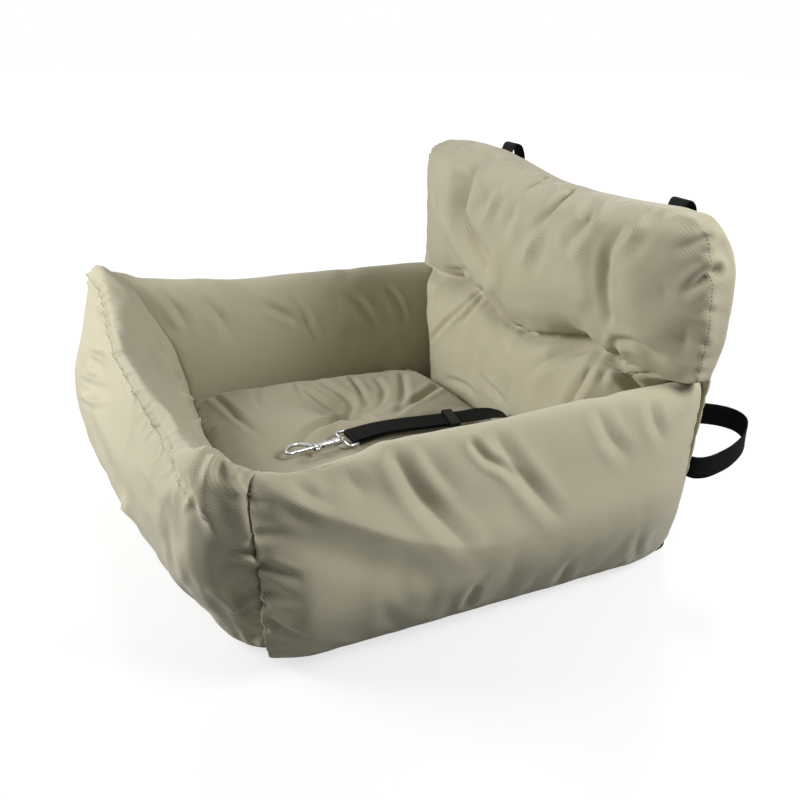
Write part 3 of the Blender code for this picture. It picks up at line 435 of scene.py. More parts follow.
class Nodes:
    """Builds the nodes of one tree in a few words."""

    def __init__(self, tree: bpy.types.NodeTree) -> None:
        """Works on the given tree."""
        self.tree = tree

    def add(self, kind: str, **values: object) -> bpy.types.Node:
        """Adds a node.

        Args:
            kind: the node's type.
            values: its properties by name.

        Returns:
            The new node.
        """
        node = self.tree.nodes.new(kind)
        for key, value in values.items():
            setattr(node, key, value)
        return node

    def wire(self, kind: str, values: dict[str, object], **settings: object) -> bpy.types.Node:
        """Adds a node and feeds its inputs by name."""
        node = self.add(kind, **settings)
        for key, value in values.items():
            self.feed(node.inputs[key], value)
        return node

    def feed(self, socket: bpy.types.NodeSocket, value: object) -> None:
        """Links an output to a socket, or sets the socket's own value."""
        if isinstance(value, bpy.types.NodeSocket):
            self.tree.links.new(value, socket)
        elif isinstance(value, (tuple, list)) and len(value) == 3 and socket.type == "RGBA":
            socket.default_value = (*value, 1.0)
        else:
            socket.default_value = value

    def sum(self, operation: str, *values: object, clamp: bool = False) -> bpy.types.NodeSocket:
        """A Math node's result on some values."""
        node = self.add("ShaderNodeMath", operation=operation, use_clamp=clamp)
        for socket, value in zip(node.inputs, values):
            self.feed(socket, value)
        return node.outputs[0]

    def mix(self, share: object, first: object, second: object) -> bpy.types.NodeSocket:
        """A colour between two colours."""
        node = self.add("ShaderNodeMix", data_type="RGBA")
        for socket, value in ((node.inputs[0], share), (node.inputs[6], first), (node.inputs[7], second)):
            self.feed(socket, value)
        return node.outputs[2]

    def noise(
        self, place: object, scale: float, detail: float, roughness: float = 0.5
    ) -> bpy.types.NodeSocket:
        """A noise texture's value."""
        node = self.add("ShaderNodeTexNoise")
        self.feed(node.inputs["Vector"], place)
        for key, value in (("Scale", scale), ("Detail", detail), ("Roughness", roughness)):
            node.inputs[key].default_value = value
        return node.outputs["Fac"]

    def between(
        self, value: object, low: float, high: float, to_low: float = 0.0, to_high: float = 1.0
    ) -> bpy.types.NodeSocket:
        """A value carried from one range to another, held inside it."""
        node = self.add("ShaderNodeMapRange")
        for socket, number in zip(node.inputs, (value, low, high, to_low, to_high)):
            self.feed(socket, number)
        return node.outputs[0]

    def bump(self, shader: bpy.types.Node, height: object, strength: float, depth: float) -> None:
        """Gives a shader a relief of so many metres."""
        node = self.add("ShaderNodeBump")
        node.inputs["Strength"].default_value = strength
        node.inputs["Distance"].default_value = depth
        self.feed(node.inputs["Height"], height)
        self.feed(shader.inputs["Normal"], node.outputs[0])


def start_material(name: str) -> tuple[bpy.types.Material, Nodes, bpy.types.Node]:
    """A new material with its nodes and its shader."""
    material = bpy.data.materials.new(name)
    material.use_nodes = True
    return material, Nodes(material.node_tree), material.node_tree.nodes["Principled BSDF"]


class Studio:
    """White room: pale floor, soft lamps and a world that lights evenly.

    Attributes:
        floor_size: the floor's width.
        floor_level: its height, just under the bed.
        floor_shade: its own colour, from black to white.
        floor_glow: light that it gives off where it is seen.
        world_light: the surround's strength as a light.
        lamps: each lamp's name, place, aim, size and power.
    """

    floor_size: float = 14.0
    floor_level: float = -0.0004
    floor_shade: float = 0.26
    floor_glow: float = 0.72
    world_light: float = 0.12
    lamps: tuple[tuple[str, Point, Point, float, float], ...] = (
        ("left_lamp", (-0.50, -1.30, 0.78), (0.0, -0.25, 0.12), 0.7, 26.0),
        ("right_lamp", (0.88, 0.72, 1.00), (0.25, 0.05, 0.15), 0.6, 16.0),
    )

    def build(self) -> None:
        """Makes the floor, the lamps and the world and sets the view."""
        scene = bpy.context.scene
        scene.view_settings.view_transform = "Standard"
        self.make_world(scene)
        self.make_floor()
        for name, place, aim, size, power in self.lamps:
            self.make_lamp(name, Vector(place), Vector(aim), size, power)

    def make_lamp(self, name: str, place: Vector, aim: Vector, size: float, power: float) -> None:
        """Adds one square soft lamp that points at a place."""
        data = bpy.data.lights.new(name, "AREA")
        data.shape = "SQUARE"
        data.size = size
        data.energy = power
        lamp = link(name, data)
        lamp.location = place
        lamp.rotation_euler = (aim - place).to_track_quat("-Z", "Y").to_euler()

    def make_world(self, scene: bpy.types.Scene) -> None:
        """A white surround: full strength where it is seen, less as a light."""
        world = bpy.data.worlds.new("white_room")
        scene.world = world
        world.use_nodes = True
        nodes = Nodes(world.node_tree)
        ray = nodes.add("ShaderNodeLightPath")
        seen = nodes.sum("MAXIMUM", ray.outputs["Is Camera Ray"], ray.outputs["Is Glossy Ray"])
        seen = nodes.sum("MAXIMUM", seen, ray.outputs["Is Transmission Ray"])
        background = world.node_tree.nodes["Background"]
        background.inputs["Color"].default_value = (1.0, 1.0, 1.0, 1.0)
        nodes.feed(background.inputs["Strength"], nodes.between(seen, 0.0, 1.0, self.world_light, 1.0))

    def make_floor(self) -> None:
        """A white, faintly glossy floor that keeps the bed's shadow."""
        half = self.floor_size / 2
        mesh = bpy.data.meshes.new("studio_floor")
        ring = ((-half, -half), (half, -half), (half, half), (-half, half))
        corners = [(x, y, self.floor_level) for x, y in ring]
        mesh.from_pydata(corners, [], [(0, 1, 2, 3)])
        floor = link("studio_floor", mesh)
        material, nodes, shader = start_material("studio_floor")
        shader.inputs["Base Color"].default_value = (*(self.floor_shade,) * 3, 1.0)
        shader.inputs["Roughness"].default_value = 0.16
        shader.inputs["Specular IOR Level"].default_value = 0.35
        ray = nodes.add("ShaderNodeLightPath")
        nodes.feed(shader.inputs["Emission Color"], (1.0, 1.0, 1.0))
        glow = nodes.sum("MULTIPLY", ray.outputs["Is Camera Ray"], self.floor_glow)
        nodes.feed(shader.inputs["Emission Strength"], glow)
        mesh.materials.append(material)


# Finishes


def weave_group() -> bpy.types.NodeTree:
    """The node group of a twill: crossing diagonal yarns with uneven thickness.

    Returns:
        The group, with inputs Place and Pitch and outputs Height, Shade and Mottle.
    """
    name = "twill_weave"
    if name in bpy.data.node_groups:
        return bpy.data.node_groups[name]
    tree = bpy.data.node_groups.new(name, "ShaderNodeTree")
    tree.interface.new_socket("Place", in_out="INPUT", socket_type="NodeSocketVector")
    pitch = tree.interface.new_socket("Pitch", in_out="INPUT", socket_type="NodeSocketFloat")
    pitch.default_value = 0.0022
    for output in ("Height", "Shade", "Mottle"):
        tree.interface.new_socket(output, in_out="OUTPUT", socket_type="NodeSocketFloat")
    nodes = Nodes(tree)
    inside, outside = nodes.add("NodeGroupInput"), nodes.add("NodeGroupOutput")
    place, size = inside.outputs["Place"], inside.outputs["Pitch"]
    split = nodes.add("ShaderNodeSeparateXYZ")
    nodes.feed(split.inputs[0], place)
    slip = nodes.sum("MULTIPLY", nodes.sum("SUBTRACT", nodes.noise(place, 140.0, 3.0), 0.5), 0.0011)
    turn = nodes.sum("DIVIDE", 2 * math.pi, size)
    ribs = []
    for operation in ("ADD", "SUBTRACT"):
        diagonal = nodes.sum(operation, split.outputs[0], split.outputs[1])
        diagonal = nodes.sum("ADD", nodes.sum("MULTIPLY", diagonal, 0.7071), slip)
        ribs.append(nodes.sum("SINE", nodes.sum("MULTIPLY", diagonal, turn)))
    yarn = nodes.noise(place, 1500.0, 1.0)
    height = nodes.sum("ADD", nodes.sum("MULTIPLY", ribs[0], 0.30), nodes.sum("MULTIPLY", ribs[1], 0.17))
    height = nodes.sum("ADD", height, nodes.sum("MULTIPLY", yarn, 0.35))
    height = nodes.sum("ADD", height, 0.32, clamp=True)
    nodes.feed(outside.inputs["Height"], height)
    nodes.feed(outside.inputs["Shade"], nodes.between(height, 0.1, 0.85))
    nodes.feed(outside.inputs["Mottle"], nodes.between(nodes.noise(place, 9.0, 4.0, 0.6), 0.3, 0.7))
    return tree


class Finish:
    """A finish, made as a material once and then found by its name."""

    name: str

    def build(self) -> bpy.types.Material:
        """Makes the material, or finds it if it is there."""
        if self.name in bpy.data.materials:
            return bpy.data.materials[self.name]
        material, nodes, shader = start_material(self.name)
        self.paint(nodes, shader)
        return material

    def paint(self, nodes: Nodes, shader: bpy.types.Node) -> None:
        """Sets the shader up."""
        raise NotImplementedError


@dataclass(frozen=True)
class TwillFinish(Finish):
    """Matt polyester twill with a diagonal weave.

    Attributes:
        name: the material's name.
        yarn: colour of the yarn that lies on top.
        gap: colour between the yarns.
        worn: colour of the paler patches.
        worn_share: how far the patches go to that colour.
        pitch: distance between two diagonals of the weave, in metres.
        relief: depth of the weave, in metres.
    """

    name: str = "khaki_twill_cloth"
    yarn: Point = (0.470, 0.436, 0.316)
    gap: Point = (0.385, 0.356, 0.252)
    worn: Point = (0.58, 0.54, 0.40)
    worn_share: float = 0.14
    pitch: float = 0.0024
    relief: float = 0.00010

    def paint(self, nodes: Nodes, shader: bpy.types.Node) -> None:
        """Weaves the cloth's colour, gloss and relief."""
        weave = nodes.add("ShaderNodeGroup", node_tree=weave_group())
        nodes.feed(weave.inputs["Place"], nodes.add("ShaderNodeUVMap", uv_map=UV_NAME).outputs[0])
        weave.inputs["Pitch"].default_value = self.pitch
        cloth = nodes.mix(weave.outputs["Shade"], self.gap, self.yarn)
        share = nodes.between(weave.outputs["Mottle"], 0.0, 1.0, 0.0, self.worn_share)
        nodes.feed(shader.inputs["Base Color"], nodes.mix(share, cloth, self.worn))
        rough = nodes.between(weave.outputs["Shade"], 0.0, 1.0, 0.95, 0.78)
        nodes.feed(shader.inputs["Roughness"], rough)
        shader.inputs["Sheen Weight"].default_value = 0.22
        shader.inputs["Sheen Roughness"].default_value = 0.45
        shader.inputs["Specular IOR Level"].default_value = 0.28
        nodes.bump(shader, weave.outputs["Height"], 0.65, self.relief)


@dataclass(frozen=True)
class WebbingFinish(Finish):
    """Black ribbed webbing with fuzz on its yarn.

    Attributes:
        name: the material's name.
        yarn: colour on top of the ribs.
        fuzz: colour of the fuzz.
        gap: colour between the ribs.
        rib: distance between ribs, in metres.
        column: width of one column of yarn, in metres.
    """

    name: str = "black_ribbed_webbing"
    yarn: Point = (0.0075, 0.0075, 0.0078)
    fuzz: Point = (0.017, 0.017, 0.0175)
    gap: Point = (0.0015, 0.0015, 0.0015)
    rib: float = 0.0015
    column: float = 0.0021

    def paint(self, nodes: Nodes, shader: bpy.types.Node) -> None:
        """Weaves the ribs, which shift from column to column."""
        place = nodes.add("ShaderNodeUVMap", uv_map=UV_NAME).outputs[0]
        split = nodes.add("ShaderNodeSeparateXYZ")
        nodes.feed(split.inputs[0], place)
        columns = nodes.sum("SINE", nodes.sum("MULTIPLY", split.outputs[0], math.pi / self.column))
        warp = nodes.sum("ABSOLUTE", columns)
        turns = nodes.sum("MULTIPLY", split.outputs[1], 2 * math.pi / self.rib)
        rib = nodes.sum("SINE", nodes.sum("ADD", turns, nodes.sum("MULTIPLY", columns, 1.2)))
        height = nodes.sum("ADD", nodes.sum("MULTIPLY", rib, 0.28), nodes.sum("MULTIPLY", warp, 0.45))
        height = nodes.sum("ADD", height, 0.28, clamp=True)
        fuzzy = nodes.between(nodes.noise(place, 2600.0, 1.0), 0.35, 0.75)
        top = nodes.mix(fuzzy, self.yarn, self.fuzz)
        nodes.feed(shader.inputs["Base Color"], nodes.mix(height, self.gap, top))
        nodes.feed(shader.inputs["Roughness"], nodes.between(height, 0.0, 1.0, 0.85, 0.52))
        shader.inputs["Specular IOR Level"].default_value = 0.10
        nodes.bump(shader, height, 0.8, 0.00028)


class Plate(Enum):
    """The bright metals of the bed: name, colour, and the least and most roughness of each."""

    CHROME = ("bright_nickel_plate", (0.62, 0.62, 0.63), 0.10, 0.24)
    SPRING = ("drawn_spring_wire", (0.55, 0.55, 0.56), 0.22, 0.38)


@dataclass(frozen=True)
class MetalFinish(Finish):
    """Plated metal with fine handling marks and the soft ripple of a casting."""

    plate: Plate

    @property
    def name(self) -> str:
        """The material's name."""
        return self.plate.value[0]

    def paint(self, nodes: Nodes, shader: bpy.types.Node) -> None:
        """Gives the metal its haze, marks and ripple."""
        _, colour, low, high = self.plate.value
        place = nodes.add("ShaderNodeTexCoord").outputs["Object"]
        haze = nodes.noise(place, 260.0, 3.0)
        shade = nodes.between(haze, 0.3, 0.75, 0.0, 0.50)
        nodes.feed(shader.inputs["Base Color"], nodes.mix(shade, colour, tuple(0.35 * c for c in colour)))
        shader.inputs["Metallic"].default_value = 1.0
        marks = nodes.between(nodes.noise(place, 2400.0, 1.0), 0.5, 0.9, 0.0, 0.08)
        rough = nodes.sum("ADD", nodes.between(haze, 0.3, 0.7, low, high), marks)
        nodes.feed(shader.inputs["Roughness"], rough)
        nodes.bump(shader, nodes.noise(place, 420.0, 1.0), 0.06, 0.0002)


@dataclass(frozen=True)
class MouldedFinish(Finish):
    """Satin plastic, rubber or thread: one colour with grain and small gloss changes.

    Attributes:
        name: the material's name.
        colour: base colour.
        roughness: mean roughness.
        grain: scale of the grain, per metre.
    """

    name: str
    colour: Point
    roughness: float
    grain: float

    def paint(self, nodes: Nodes, shader: bpy.types.Node) -> None:
        """Gives the surface its grain."""
        place = nodes.add("ShaderNodeTexCoord").outputs["Object"]
        grain = nodes.noise(place, self.grain, 3.0, 0.6)
        light = tuple(1.6 * c + 0.002 for c in self.colour)
        colour = nodes.mix(nodes.between(grain, 0.4, 0.8), self.colour, light)
        nodes.feed(shader.inputs["Base Color"], colour)
        rough = nodes.between(grain, 0.2, 0.8, self.roughness - 0.1, self.roughness + 0.1)
        nodes.feed(shader.inputs["Roughness"], rough)
        shader.inputs["Specular IOR Level"].default_value = 0.25
        nodes.bump(shader, grain, 0.35, 0.00012)


TWILL = TwillFinish()
PATCH_TWILL = TwillFinish("khaki_patch_cloth", (0.45, 0.415, 0.30), (0.31, 0.285, 0.20))
WEBBING = WebbingFinish()
UNDERSIDE = MouldedFinish("black_underside_cloth", (0.018, 0.018, 0.018), 0.82, 900.0)
GRIP = MouldedFinish("grip_dot_rubber", (0.030, 0.030, 0.031), 0.55, 700.0)
ACETAL = MouldedFinish("black_acetal", (0.009, 0.009, 0.0095), 0.42, 1200.0)
# the khaki thread is darkened past its own colour to paint the shade that lies in the seams
THREAD_WITH_PAINTED_SHADE = MouldedFinish("khaki_thread", (0.15, 0.13, 0.085), 0.8, 3000.0)
BLACK_THREAD = MouldedFinish("black_thread", (0.016, 0.016, 0.0165), 0.6, 3000.0)
CHROME = MetalFinish(Plate.CHROME)
SPRING_WIRE = MetalFinish(Plate.SPRING)


# Folds and filling


@dataclass(frozen=True)
class Fold:
    """A crease drawn on the cloth where the photograph shows one.

    Attributes:
        pixels: its line in the picture.
        width: half its width, in metres.
        depth: how deep it is, in metres.
        strengths: how strong it is at its start, middle and end.
    """

    pixels: tuple[Pair, ...]
    width: float
    depth: float
    strengths: tuple[float, float, float] = (0.0, 1.0, 0.0)


@dataclass
class Line:
    """A crease or seam on the surface.

    Attributes:
        points: its points.
        ways: the surface's direction at each.
        width: half its width.
        depth: how deep it is.
        strengths: how strong it is at its start, middle and end.
        shoulder: height of the raised cloth beside it, as a share of its depth.
    """

    points: np.ndarray
    ways: np.ndarray
    width: float
    depth: float
    strengths: tuple[float, float, float] = (1.0, 1.0, 1.0)
    shoulder: float = 0.35


class Sewing:
    """Presses seams and creases into a cover."""

    def __init__(self, obj: bpy.types.Object) -> None:
        """Works on the given cover."""
        self.obj = obj

    def tree(self) -> BVHTree:
        """The cover as a surface that can be met by a line of sight."""
        mesh = self.obj.data
        return BVHTree.FromPolygons([v.co for v in mesh.vertices], [list(p.vertices) for p in mesh.polygons])

    def press(self, lines: Sequence[Line]) -> None:
        """Presses lines into the cover, each with a raised shoulder on both sides.

        Args:
            lines: the seams and creases.
        """
        points = points_of(self.obj)
        normals = normals_of(self.obj)
        moved = points.copy()
        for line in lines:
            if len(line.points) < 2:
                continue
            low, high = line.points.min(0) - 4 * line.width, line.points.max(0) + 4 * line.width
            near = np.nonzero(np.all((points > low) & (points < high), axis=1))[0]
            if not len(near):
                continue
            away, share, nearest = closeness(points[near], line.points)
            facing = np.einsum("ij,ij->i", normals[near], line.ways[nearest]) > 0.05
            strength = np.interp(share, (0.0, 0.5, 1.0), line.strengths)
            groove = np.exp(-((away / line.width) ** 1.35))
            rim = bell(away, 2.0 * line.width, line.width)
            sink = line.depth * strength * (groove - line.shoulder * rim) * facing
            moved[near] -= normals[near] * sink[:, None]
        move_points(self.obj, moved)

    def folds(self, folds: Sequence[Fold]) -> None:
        """Presses creases that are given as lines of the picture."""
        tree = self.tree()
        lines = []
        for fold in folds:
            path = smooth_path([(*pixel, 0.0) for pixel in fold.pixels], 4)
            points, ways = CAMERA.seen(tree, [(p[0], p[1]) for p in path])
            if len(points) > 1:
                lines.append(Line(points, ways, fold.width, fold.depth, fold.strengths))
        self.press(lines)

    def along(self, numbers: Sequence[int]) -> Seam:
        """The places and directions of some mesh points."""
        return points_of(self.obj)[list(numbers)], normals_of(self.obj)[list(numbers)]

    @staticmethod
    def laid(tree: BVHTree, places: Sequence[np.ndarray]) -> Seam:
        """Carries places to the nearest points of a surface, and reads its directions there."""
        met = [tree.find_nearest(Vector(place)) for place in places]
        return np.array([tuple(hit[0]) for hit in met]), np.array([tuple(hit[1]) for hit in met])

    def puckers(
        self,
        points: np.ndarray,
        ways: np.ndarray,
        rng: np.random.Generator,
        spacing: float,
        reach: float,
        depth: float,
    ) -> None:
        """Presses short folds across a seam, as the thread gathers the cloth.

        Args:
            points: the seam's points in order.
            ways: the surface's direction at each.
            rng: the random numbers to use.
            spacing: mean distance between folds.
            reach: longest fold, to each side.
            depth: deepest fold.
        """
        count = max(1, int(length_of(points) / spacing))
        tree = self.tree()
        lines = []
        for k in range(count):
            i = int(min(len(points) - 2, max(1, (k + rng.uniform(0.1, 0.9)) / count * (len(points) - 1))))
            ahead = points[i + 1] - points[i - 1]
            ahead /= max(np.linalg.norm(ahead), 1e-9)
            aside = np.cross(ahead, ways[i])
            lean = rng.uniform(-0.5, 0.5)
            for side in (-1, 1):
                span = reach * rng.uniform(0.35, 1.0)
                way = side * aside + lean * ahead
                places = [points[i] + way * span * step for step in (0.0, 0.35, 0.7, 1.0)]
                path, facing = self.laid(tree, places)
                strong = depth * rng.uniform(0.35, 1.0)
                wide = rng.uniform(0.0028, 0.0048)
                lines.append(Line(path, facing, wide, strong, (1.0, 0.7, 0.0)))
        self.press(lines)

    def wander(
        self,
        starts: np.ndarray,
        ways: np.ndarray,
        rng: np.random.Generator,
        length: float,
        width: float,
        depth: float,
    ) -> None:
        """Presses long soft creases that start at given points and run a given way.

        Args:
            starts: where they start.
            ways: the direction each one takes.
            rng: the random numbers to use.
            length: mean length.
            width: mean half width.
            depth: mean depth.
        """
        tree = self.tree()
        lines = []
        for start, way in zip(starts, ways):
            span = length * rng.uniform(0.6, 1.4)
            normal = np.array(tree.find_nearest(Vector(start))[1])
            bend = np.cross(normal, way) * rng.uniform(-0.25, 0.25)
            places = [start + span * (way * step + bend * step * step) for step in np.linspace(0.0, 1.0, 7)]
            path, facing = self.laid(tree, places)
            wide = width * rng.uniform(0.6, 1.4)
            strong = depth * rng.uniform(0.5, 1.3)
            lines.append(Line(path, facing, wide, strong, (0.0, 1.0, 0.0)))
        self.press(lines)


@dataclass
class Stuffing:
    """One cover that the cloth simulation fills.

    Attributes:
        obj: the cover.
        held: how firmly each point is held, from 0 to 1.
        cap: the furthest that a point may move.
    """

    obj: bpy.types.Object
    held: np.ndarray
    cap: float


class Filling:
    """Fills all the covers in one run of Blender's Cloth: they keep their broad form and gain wrinkles.

    Attributes:
        frames: length of the run.
        broad_share: share of the broad movement that is taken away again.
        share: share of the rest that is kept.
        spare: share by which the cloth is larger than the shape that it starts from.
        pressure: pressure of the stuffing.
    """

    frames: int = 20
    broad_share: float = 0.9
    share: float = 0.45
    spare: float = 0.05
    pressure: float = 4.0

    def __init__(self) -> None:
        """Starts with no covers."""
        self.jobs: list[Stuffing] = []

    def add(self, job: Stuffing) -> None:
        """Takes one more cover."""
        self.jobs.append(job)

    def run(self) -> None:
        """Runs the simulation and keeps its result in the meshes."""
        starts = [points_of(job.obj) for job in self.jobs]
        for job in self.jobs:
            self.set_up(job)
        scene = bpy.context.scene
        for number in range(1, self.frames + 1):
            scene.frame_set(number)
        graph = bpy.context.evaluated_depsgraph_get()
        results = []
        for job in self.jobs:
            evaluated = job.obj.evaluated_get(graph)
            mesh = evaluated.to_mesh()
            results.append(triples(mesh.vertices, "co"))
            evaluated.to_mesh_clear()
        for job, start, filled in zip(self.jobs, starts, results):
            job.obj.modifiers.clear()
            job.obj.vertex_groups.clear()
            moved = evened(job.obj, filled - start, 5)
            moved = self.share * (moved - self.broad_share * evened(job.obj, moved, 90))
            far = np.maximum(np.linalg.norm(moved, axis=1, keepdims=True), 1e-9)
            LOG.info("%s wrinkles by up to %.1f mm", job.obj.name, 1000 * far.max())
            move_points(job.obj, start + moved * (job.cap * np.tanh(far / job.cap) / far))
        scene.frame_set(1)

    def set_up(self, job: Stuffing) -> None:
        """Gives one cover its cloth settings."""
        group = job.obj.vertex_groups.new(name="held")
        for level in np.unique(np.round(job.held, 2)):
            if level > 0:
                numbers = np.nonzero(np.round(job.held, 2) == level)[0]
                group.add([int(n) for n in numbers], float(level), "REPLACE")
        modifier = job.obj.modifiers.new("filling", "CLOTH")
        cloth = modifier.settings
        cloth.quality = 5
        cloth.mass = 0.3
        cloth.tension_stiffness = 15.0
        cloth.compression_stiffness = 12.0
        cloth.shear_stiffness = 4.0
        cloth.bending_stiffness = 0.6
        cloth.use_pressure = True
        cloth.uniform_pressure_force = self.pressure
        cloth.shrink_min = -self.spare
        cloth.effector_weights.gravity = 0.0
        cloth.vertex_group_mass = "held"
        cloth.pin_stiffness = 1.0
        modifier.collision_settings.use_collision = False
        modifier.collision_settings.use_self_collision = False


# Repeated parts by Geometry Nodes


class Repeat:
    """A Geometry Nodes tree that sets copies of a small shape along lines."""

    def __init__(
        self, name: str, finish: bpy.types.Material, size: Point, pitch: float, boxes: bool = False
    ) -> None:
        """Builds the tree.

        Args:
            name: the tree's name.
            finish: the copies' material.
            size: length, width and height of one copy.
            pitch: distance between copies.
            boxes: whether a copy is a small block; otherwise it is round.
        """
        tree = bpy.data.node_groups.new(name, "GeometryNodeTree")
        tree.interface.new_socket("Geometry", in_out="INPUT", socket_type="NodeSocketGeometry")
        self.sockets: dict[str, str] = {}
        for label in ("Pitch", "Length", "Width", "Height"):
            socket = tree.interface.new_socket(label, in_out="INPUT", socket_type="NodeSocketFloat")
            self.sockets[label] = socket.identifier
        tree.interface.new_socket("Geometry", in_out="OUTPUT", socket_type="NodeSocketGeometry")
        nodes = Nodes(tree)
        inside, outside = nodes.add("NodeGroupInput"), nodes.add("NodeGroupOutput")
        curve = nodes.wire("GeometryNodeMeshToCurve", {"Mesh": inside.outputs["Geometry"]})
        spacing = {"Curve": curve.outputs["Curve"], "Length": inside.outputs["Pitch"]}
        even = nodes.wire("GeometryNodeResampleCurve", spacing, mode="LENGTH")
        if boxes:
            shape = nodes.wire("GeometryNodeMeshCube", {"Size": (1.0, 1.0, 1.0)})
        else:
            shape = nodes.wire("GeometryNodeMeshIcoSphere", {"Radius": 0.5, "Subdivisions": 1})
        tangent = nodes.add("GeometryNodeInputTangent").outputs["Tangent"]
        facing = nodes.wire("GeometryNodeInputNamedAttribute", {"Name": "way"}, data_type="FLOAT_VECTOR")
        first = nodes.wire("FunctionNodeAlignRotationToVector", {"Vector": tangent}, axis="X")
        aim = {"Rotation": first.outputs["Rotation"], "Vector": facing.outputs["Attribute"]}
        second = nodes.wire("FunctionNodeAlignRotationToVector", aim, axis="Z", pivot_axis="X")
        scale = nodes.add("ShaderNodeCombineXYZ")
        for socket, label in zip(scale.inputs, ("Length", "Width", "Height")):
            nodes.feed(socket, inside.outputs[label])
        placing = {
            "Points": even.outputs["Curve"],
            "Instance": shape.outputs["Mesh"],
            "Rotation": second.outputs["Rotation"],
            "Scale": scale.outputs[0],
        }
        copies = nodes.wire("GeometryNodeInstanceOnPoints", placing)
        real = nodes.wire("GeometryNodeRealizeInstances", {"Geometry": copies.outputs["Instances"]})
        coat = {"Geometry": real.outputs["Geometry"], "Material": finish}
        dressed = nodes.wire("GeometryNodeSetMaterial", coat)
        nodes.feed(outside.inputs["Geometry"], dressed.outputs["Geometry"])
        self.tree = tree
        self.finish = finish
        self.smooth = not boxes
        self.values = {"Pitch": pitch, "Length": size[0], "Width": size[1], "Height": size[2]}

    def make(self, name: str, lines: Sequence[Seam]) -> bpy.types.Object:
        """Sets the copies along lines.

        Args:
            name: the piece's name.
            lines: for each line, its points and the surface's direction at each.

        Returns:
            One plain mesh with all the copies.
        """
        points, edges, ways = [], [], []
        for path, facing in lines:
            start = len(points)
            points.extend(tuple(map(float, p)) for p in path)
            ways.extend(tuple(map(float, w)) for w in facing)
            edges.extend((start + i, start + i + 1) for i in range(len(path) - 1))
        mesh = bpy.data.meshes.new(name)
        mesh.from_pydata(points, edges, [])
        way = mesh.attributes.new("way", "FLOAT_VECTOR", "POINT")
        way.data.foreach_set("vector", np.asarray(ways, np.float32).ravel())
        obj = link(name, mesh)
        modifier = obj.modifiers.new("copies", "NODES")
        modifier.node_group = self.tree
        for label, identifier in self.sockets.items():
            modifier[identifier] = self.values[label]
        made_plain(obj)
        if self.smooth:
            obj.data.shade_smooth()
        if not obj.data.materials:
            obj.data.materials.append(self.finish)
        return obj


class Thread:
    """The stitches of the covers and of the webbing."""

    def __init__(self) -> None:
        """Builds one tree for each kind of stitch."""
        self.cover = Repeat("cover_stitch", THREAD_WITH_PAINTED_SHADE.build(), (0.0030, 0.0008, 0.0007), 0.0040)
        self.strap = Repeat("webbing_stitch", BLACK_THREAD.build(), (0.0026, 0.0007, 0.0006), 0.0034)

    def sew(self, name: str, lines: Sequence[Seam], body: str, lift: float = 0.0) -> bpy.types.Object:
        """Khaki stitches along seams, their thread darkened with painted seam shade.

        Args:
            name: the piece's name.
            lines: each seam's points and the surface's direction at each.
            body: the body that they ride on.
            lift: how far the stitches stand out of the surface.

        Returns:
            The stitches as one piece.
        """
        obj = self.cover.make(name, [(path + ways * lift, ways) for path, ways in lines])
        return dress(obj, THREAD_WITH_PAINTED_SHADE.build(), "khaki_twill", body)

    def tack(self, name: str, lines: Sequence[Seam], body: str) -> bpy.types.Object:
        """Black stitches in webbing."""
        return dress(self.strap.make(name, lines), BLACK_THREAD.build(), "black_webbing", body)

    @staticmethod
    def box(middle: np.ndarray, half: Pair) -> list[Seam]:
        """The lines of a box stitch with a cross in it, on a face that looks rearwards.

        Args:
            middle: its middle.
            half: half its width and height.

        Returns:
            The lines, each with the direction that the stitches face.
        """
        a, b = -RIGHT * half[0], UP * half[1]
        corners = [middle - a - b, middle + a - b, middle + a + b, middle - a + b]
        runs = [(corners[i], corners[(i + 1) % 4]) for i in range(4)]
        runs += [(corners[0], corners[2]), (corners[1], corners[3])]
        return [(np.linspace(p, q, 6), np.tile(REARWARD, (6, 1))) for p, q in runs]


def dress(
    obj: bpy.types.Object, finish: bpy.types.Material, slot: str, body: str, *nodes: str
) -> bpy.types.Object:
    """Gives a finished piece its material and body, and hides the solids it stands for.

    Args:
        obj: the piece.
        finish: its material.
        slot: the record's material slot; not used.
        body: the body that it rides on; empty for none.
        nodes: the solids it replaces.

    Returns:
        The piece.
    """
    obj.data.materials.clear()
    obj.data.materials.append(finish)
    if body:
        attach(obj, body)
    if nodes:
        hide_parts(*nodes)
    LOG.info("%s: %d faces, rides on %s", obj.name, len(obj.data.polygons), body or "two bodies")
    return obj


# Bolsters

# Depth and height round a bolster's section, from its outer foot over the ridge to its inner foot
OUTLINE = (
    (0.0400, 0.0038), (0.0300, 0.0068), (0.0205, 0.0190), (0.0115, 0.0430), (0.0040, 0.0720),
    (0.0000, 0.1020), (0.0000, 0.1350), (0.0015, 0.1630), (0.0045, 0.1850), (0.0110, 0.1985),
    (0.0220, 0.2045), (0.0340, 0.2050), (0.0450, 0.2010), (0.0545, 0.1915), (0.0660, 0.1710),
    (0.0790, 0.1410), (0.0890, 0.1080), (0.0945, 0.0750), (0.0975, 0.0450), (0.0965, 0.0200),
    (0.0930, 0.0075), (0.0860, 0.0038), (0.0640, 0.0038),
)


